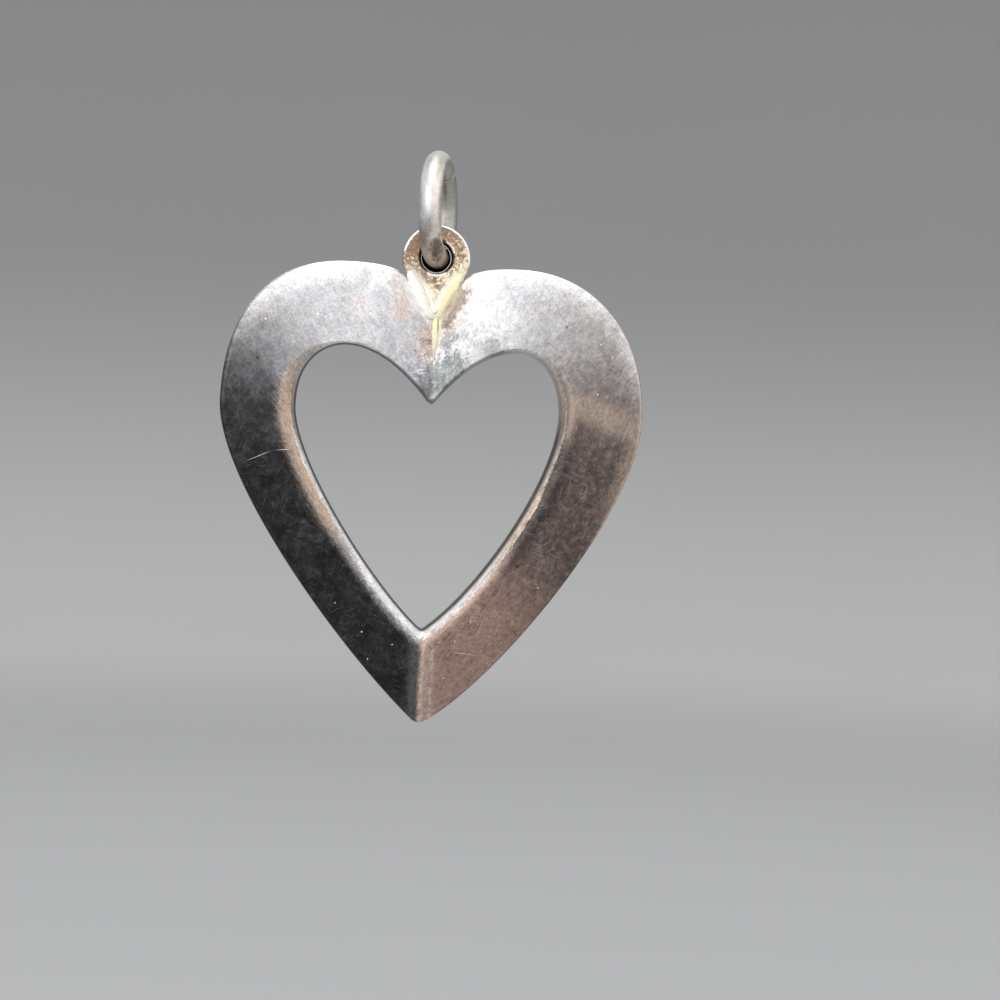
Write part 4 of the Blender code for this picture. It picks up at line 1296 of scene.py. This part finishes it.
class PENDANT_OT_solder_seam(Operator):
    """Build the solder round the tab's foot and down the valley"""

    bl_idname = "pendant.solder_seam"
    bl_label = "Solder Seam"

    def execute(self, context):
        s = settings()
        outline, shell, solder, tab = s["outline"], s["shell"], s["solder"], s["tab"]
        notch = outline.flank_height + outline.lobe_rise - outline.notch_depth
        foot = shell.plate_thickness + shell.solder_film
        share = np.linspace(0, 1, BEAD_STEPS)
        ends = np.sqrt(np.clip(1 - np.abs(share * 2 - 1) ** 4, 0, 1))
        ragged = 1 + 0.10 * np.sin(share * 23) + 0.07 * np.sin(share * 41 + 1)
        fillet_share = np.clip((share - 0.2) / 0.2, 0, 1)
        beads = []
        for points, side in ((LEFT_ARM, -1), (RIGHT_ARM, 1)):
            across, up, half_width = smooth_path(points, BEAD_STEPS).T * MM
            level = tab.lift + tab.thickness - solder.height * 0.3 - 0.1 * MM * share ** 3
            path = place_in_frame(across, notch + up, level)
            widths = solder.spread * half_width * ends * ragged
            beads.append((path, widths, solder.height * ends, solder.tilt))
            # A low fillet fills the corner between the tab's edge and the lobe
            aside = solder.fillet * (0.6 + 0.4 * fillet_share)
            path = place_in_frame(
                across + side * FILLET_WAY[0] * aside, notch + up - FILLET_WAY[1] * aside,
                level - 0.04 * MM - 0.03 * MM * share,
            )
            half_width = FILLET_HALF_WIDTH * MM * ends * ragged * fillet_share + THINNEST
            beads.append((path, half_width, solder.height * 1.25 * ends * fillet_share + THINNEST, 0))
        across, up, half_width = smooth_path(STEM, BEAD_STEPS).T * MM
        width = Half(outline, 1).width[-1]
        depth = np.maximum(-up, 0) * width / outline.notch_band
        climb = (depth - shell.rim_round) / (width - shell.lobe_shoulder_width - shell.rim_round)
        floor = foot + slope_height(np.clip(climb, 0, 1), shell) + 0.2 * np.abs(across)
        path = place_in_frame(across, notch + up, floor + 0.02 * MM)
        height = solder.stem_height * ends * (1 - 0.35 * share)
        beads.append((path, solder.spread * half_width * ends * ragged, height, 0))
        bm = bmesh.new()
        for path, widths, heights, tilt in beads:
            grid = bead_grid(path / MM, widths / MM, heights / MM, tilt)
            part = surface("solder_part", grid, wrap_rows=False)
            bm.from_mesh(part.data)
            old = part.data
            bpy.data.objects.remove(part)
            bpy.data.meshes.remove(old)
        mesh = bpy.data.meshes.new("solder_seam")
        bm.to_mesh(mesh)
        bm.free()
        item = bpy.data.objects.new("pale_solder_seam", mesh)
        context.scene.collection.objects.link(item)
        remesh = item.modifiers.new("one skin", "REMESH")
        remesh.mode = "VOXEL"
        remesh.voxel_size = SKIN_VOXEL
        smooth = item.modifiers.new("flowed", "SMOOTH")
        smooth.factor = 0.5
        smooth.iterations = SKIN_SMOOTHING
        done = bpy.data.meshes.new_from_object(item.evaluated_get(context.evaluated_depsgraph_get()))
        item.modifiers.clear()
        item.data = done
        points = np.empty(len(done.vertices) * 3, np.float32)
        done.vertices.foreach_get("co", points)
        done.vertices.foreach_set("co", points * MM)
        done.polygons.foreach_set("use_smooth", np.ones(len(done.polygons), bool))
        done.update()
        stand_for(item, "solder_seam", "heart", pale_solder(s["finish"]))
        return {"FINISHED"}


def aim(item, place, target, roll=0):
    """Puts a lamp or camera at a place, looking at a target."""
    item.location = place
    facing = (Vector(target) - Vector(place)).to_track_quat("-Z", "Y")
    item.rotation_euler = (facing @ Quaternion((0, 0, 1), roll)).to_euler()


def soft_lamp(name, place, target, size, brightness):
    """A square area lamp of a size, whose face has a brightness."""
    lamp = bpy.data.lights.new(name, "AREA")
    lamp.size = size
    lamp.energy = brightness * math.pi * size * size
    item = bpy.data.objects.new(name, lamp)
    bpy.context.scene.collection.objects.link(item)
    aim(item, place, target)


STUDIO_SIDES = 512
# The lamps' places and sizes, in metres
LAMP_TARGET = (0, 0, -0.017)
KEY_PLACE, KEY_SIZE = (-0.14, -0.36, 0.13), 0.32
FILL_PLACE, FILL_SIZE = (0.02, -0.02, 0.35), 0.3
SENSOR_WIDTH = 36


class PENDANT_OT_stage(Operator):
    """Build the plain studio, its lamps and the camera"""

    bl_idname = "pendant.stage"
    bl_label = "Stage"

    def execute(self, context):
        s = settings()
        stage, scene = s["stage"], context.scene
        scene.view_settings.view_transform = "Standard"
        floor_z = BACK_LOW.z - stage.drop
        bend = quarter(24)
        flat = np.linspace(0, stage.radius - stage.sweep, 12)
        radius = np.concatenate([flat, stage.radius - stage.sweep * (1 - np.sin(bend[1:])), [stage.radius]])
        level = np.concatenate([0 * flat, stage.sweep * (1 - np.cos(bend[1:])), [stage.height]])
        turns = np.linspace(0, math.tau, STUDIO_SIDES, endpoint=False)
        behind = np.clip((np.sin(turns) + 0.25) / 0.5, 0, 1)
        grid = np.stack([
            radius[:, None] * np.cos(turns), radius[:, None] * np.sin(turns),
            floor_z + level[:, None] * behind ** 2 * (3 - 2 * behind),
        ], -1)
        studio = surface("studio", grid, wrap_rows=False)
        studio.data.flip_normals()
        studio.data.materials.append(studio_grey(stage, floor_z))

        world = bpy.data.worlds.new("sky")
        world.use_nodes = True
        nodes = world.node_tree.nodes
        seen = nodes.new("ShaderNodeMix")
        seen.data_type = "RGBA"
        Shader.socket(seen.inputs, "A_Color").default_value = (1, 1, 1, 1)
        Shader.socket(seen.inputs, "B_Color").default_value = (*stage.wall, 1)
        factor = Shader.socket(seen.inputs, "Factor_Float")
        result = Shader.socket(seen.outputs, "Result_Color")
        camera_ray = nodes.new("ShaderNodeLightPath").outputs["Is Camera Ray"]
        world.node_tree.links.new(camera_ray, factor)
        world.node_tree.links.new(result, nodes["Background"].inputs["Color"])
        nodes["Background"].inputs["Strength"].default_value = stage.sky
        scene.world = world

        soft_lamp("key_lamp", KEY_PLACE, LAMP_TARGET, KEY_SIZE, stage.key)
        soft_lamp("fill_lamp", FILL_PLACE, LAMP_TARGET, FILL_SIZE, stage.fill)

        camera = bpy.data.objects.new("camera", bpy.data.cameras.new("camera"))
        scene.collection.objects.link(camera)
        target = Vector((stage.aim_across, 0, -stage.aim_down))
        way = Vector((math.sin(stage.azimuth), -math.cos(stage.azimuth), 0))
        camera.data.sensor_width = SENSOR_WIDTH
        camera.data.lens = SENSOR_WIDTH * stage.distance / stage.span
        camera.data.clip_start = 0.001
        camera.data.clip_end = 10
        aim(camera, target + way * stage.distance, target, stage.roll)
        scene.camera = camera
        return {"FINISHED"}


class PENDANT_PT_panel(Panel):
    """Pieces and sizes of the pendant"""

    bl_idname = "PENDANT_PT_panel"
    bl_label = "Heart Pendant"
    bl_space_type = "VIEW_3D"
    bl_region_type = "UI"
    bl_category = "Pendant"

    def draw(self, context):
        for operator in OPERATORS:
            self.layout.operator(operator.bl_idname)
        for name, group in GROUPS.items():
            box = self.layout.box()
            box.label(text=group.__doc__)
            for field in group.__annotations__:
                box.prop(getattr(context.scene, name), field)


OPERATORS = (
    PENDANT_OT_front_shell, PENDANT_OT_back_plate, PENDANT_OT_eyelet_tab, PENDANT_OT_solder_seam,
    PENDANT_OT_jump_ring, PENDANT_OT_stage,
)
CLASSES = (*GROUPS.values(), *OPERATORS, PENDANT_PT_panel)


def register():
    for cls in CLASSES:
        bpy.utils.register_class(cls)
    for name, group in GROUPS.items():
        setattr(bpy.types.Scene, name, PointerProperty(type=group))


def unregister():
    for name in GROUPS:
        delattr(bpy.types.Scene, name)
    for cls in reversed(CLASSES):
        bpy.utils.unregister_class(cls)


def main():
    register()
    for operator in OPERATORS:
        group, name = operator.bl_idname.split(".")
        getattr(getattr(bpy.ops, group), name)()
    bpy.context.view_layer.update()


if __name__ == "__main__":
    main()
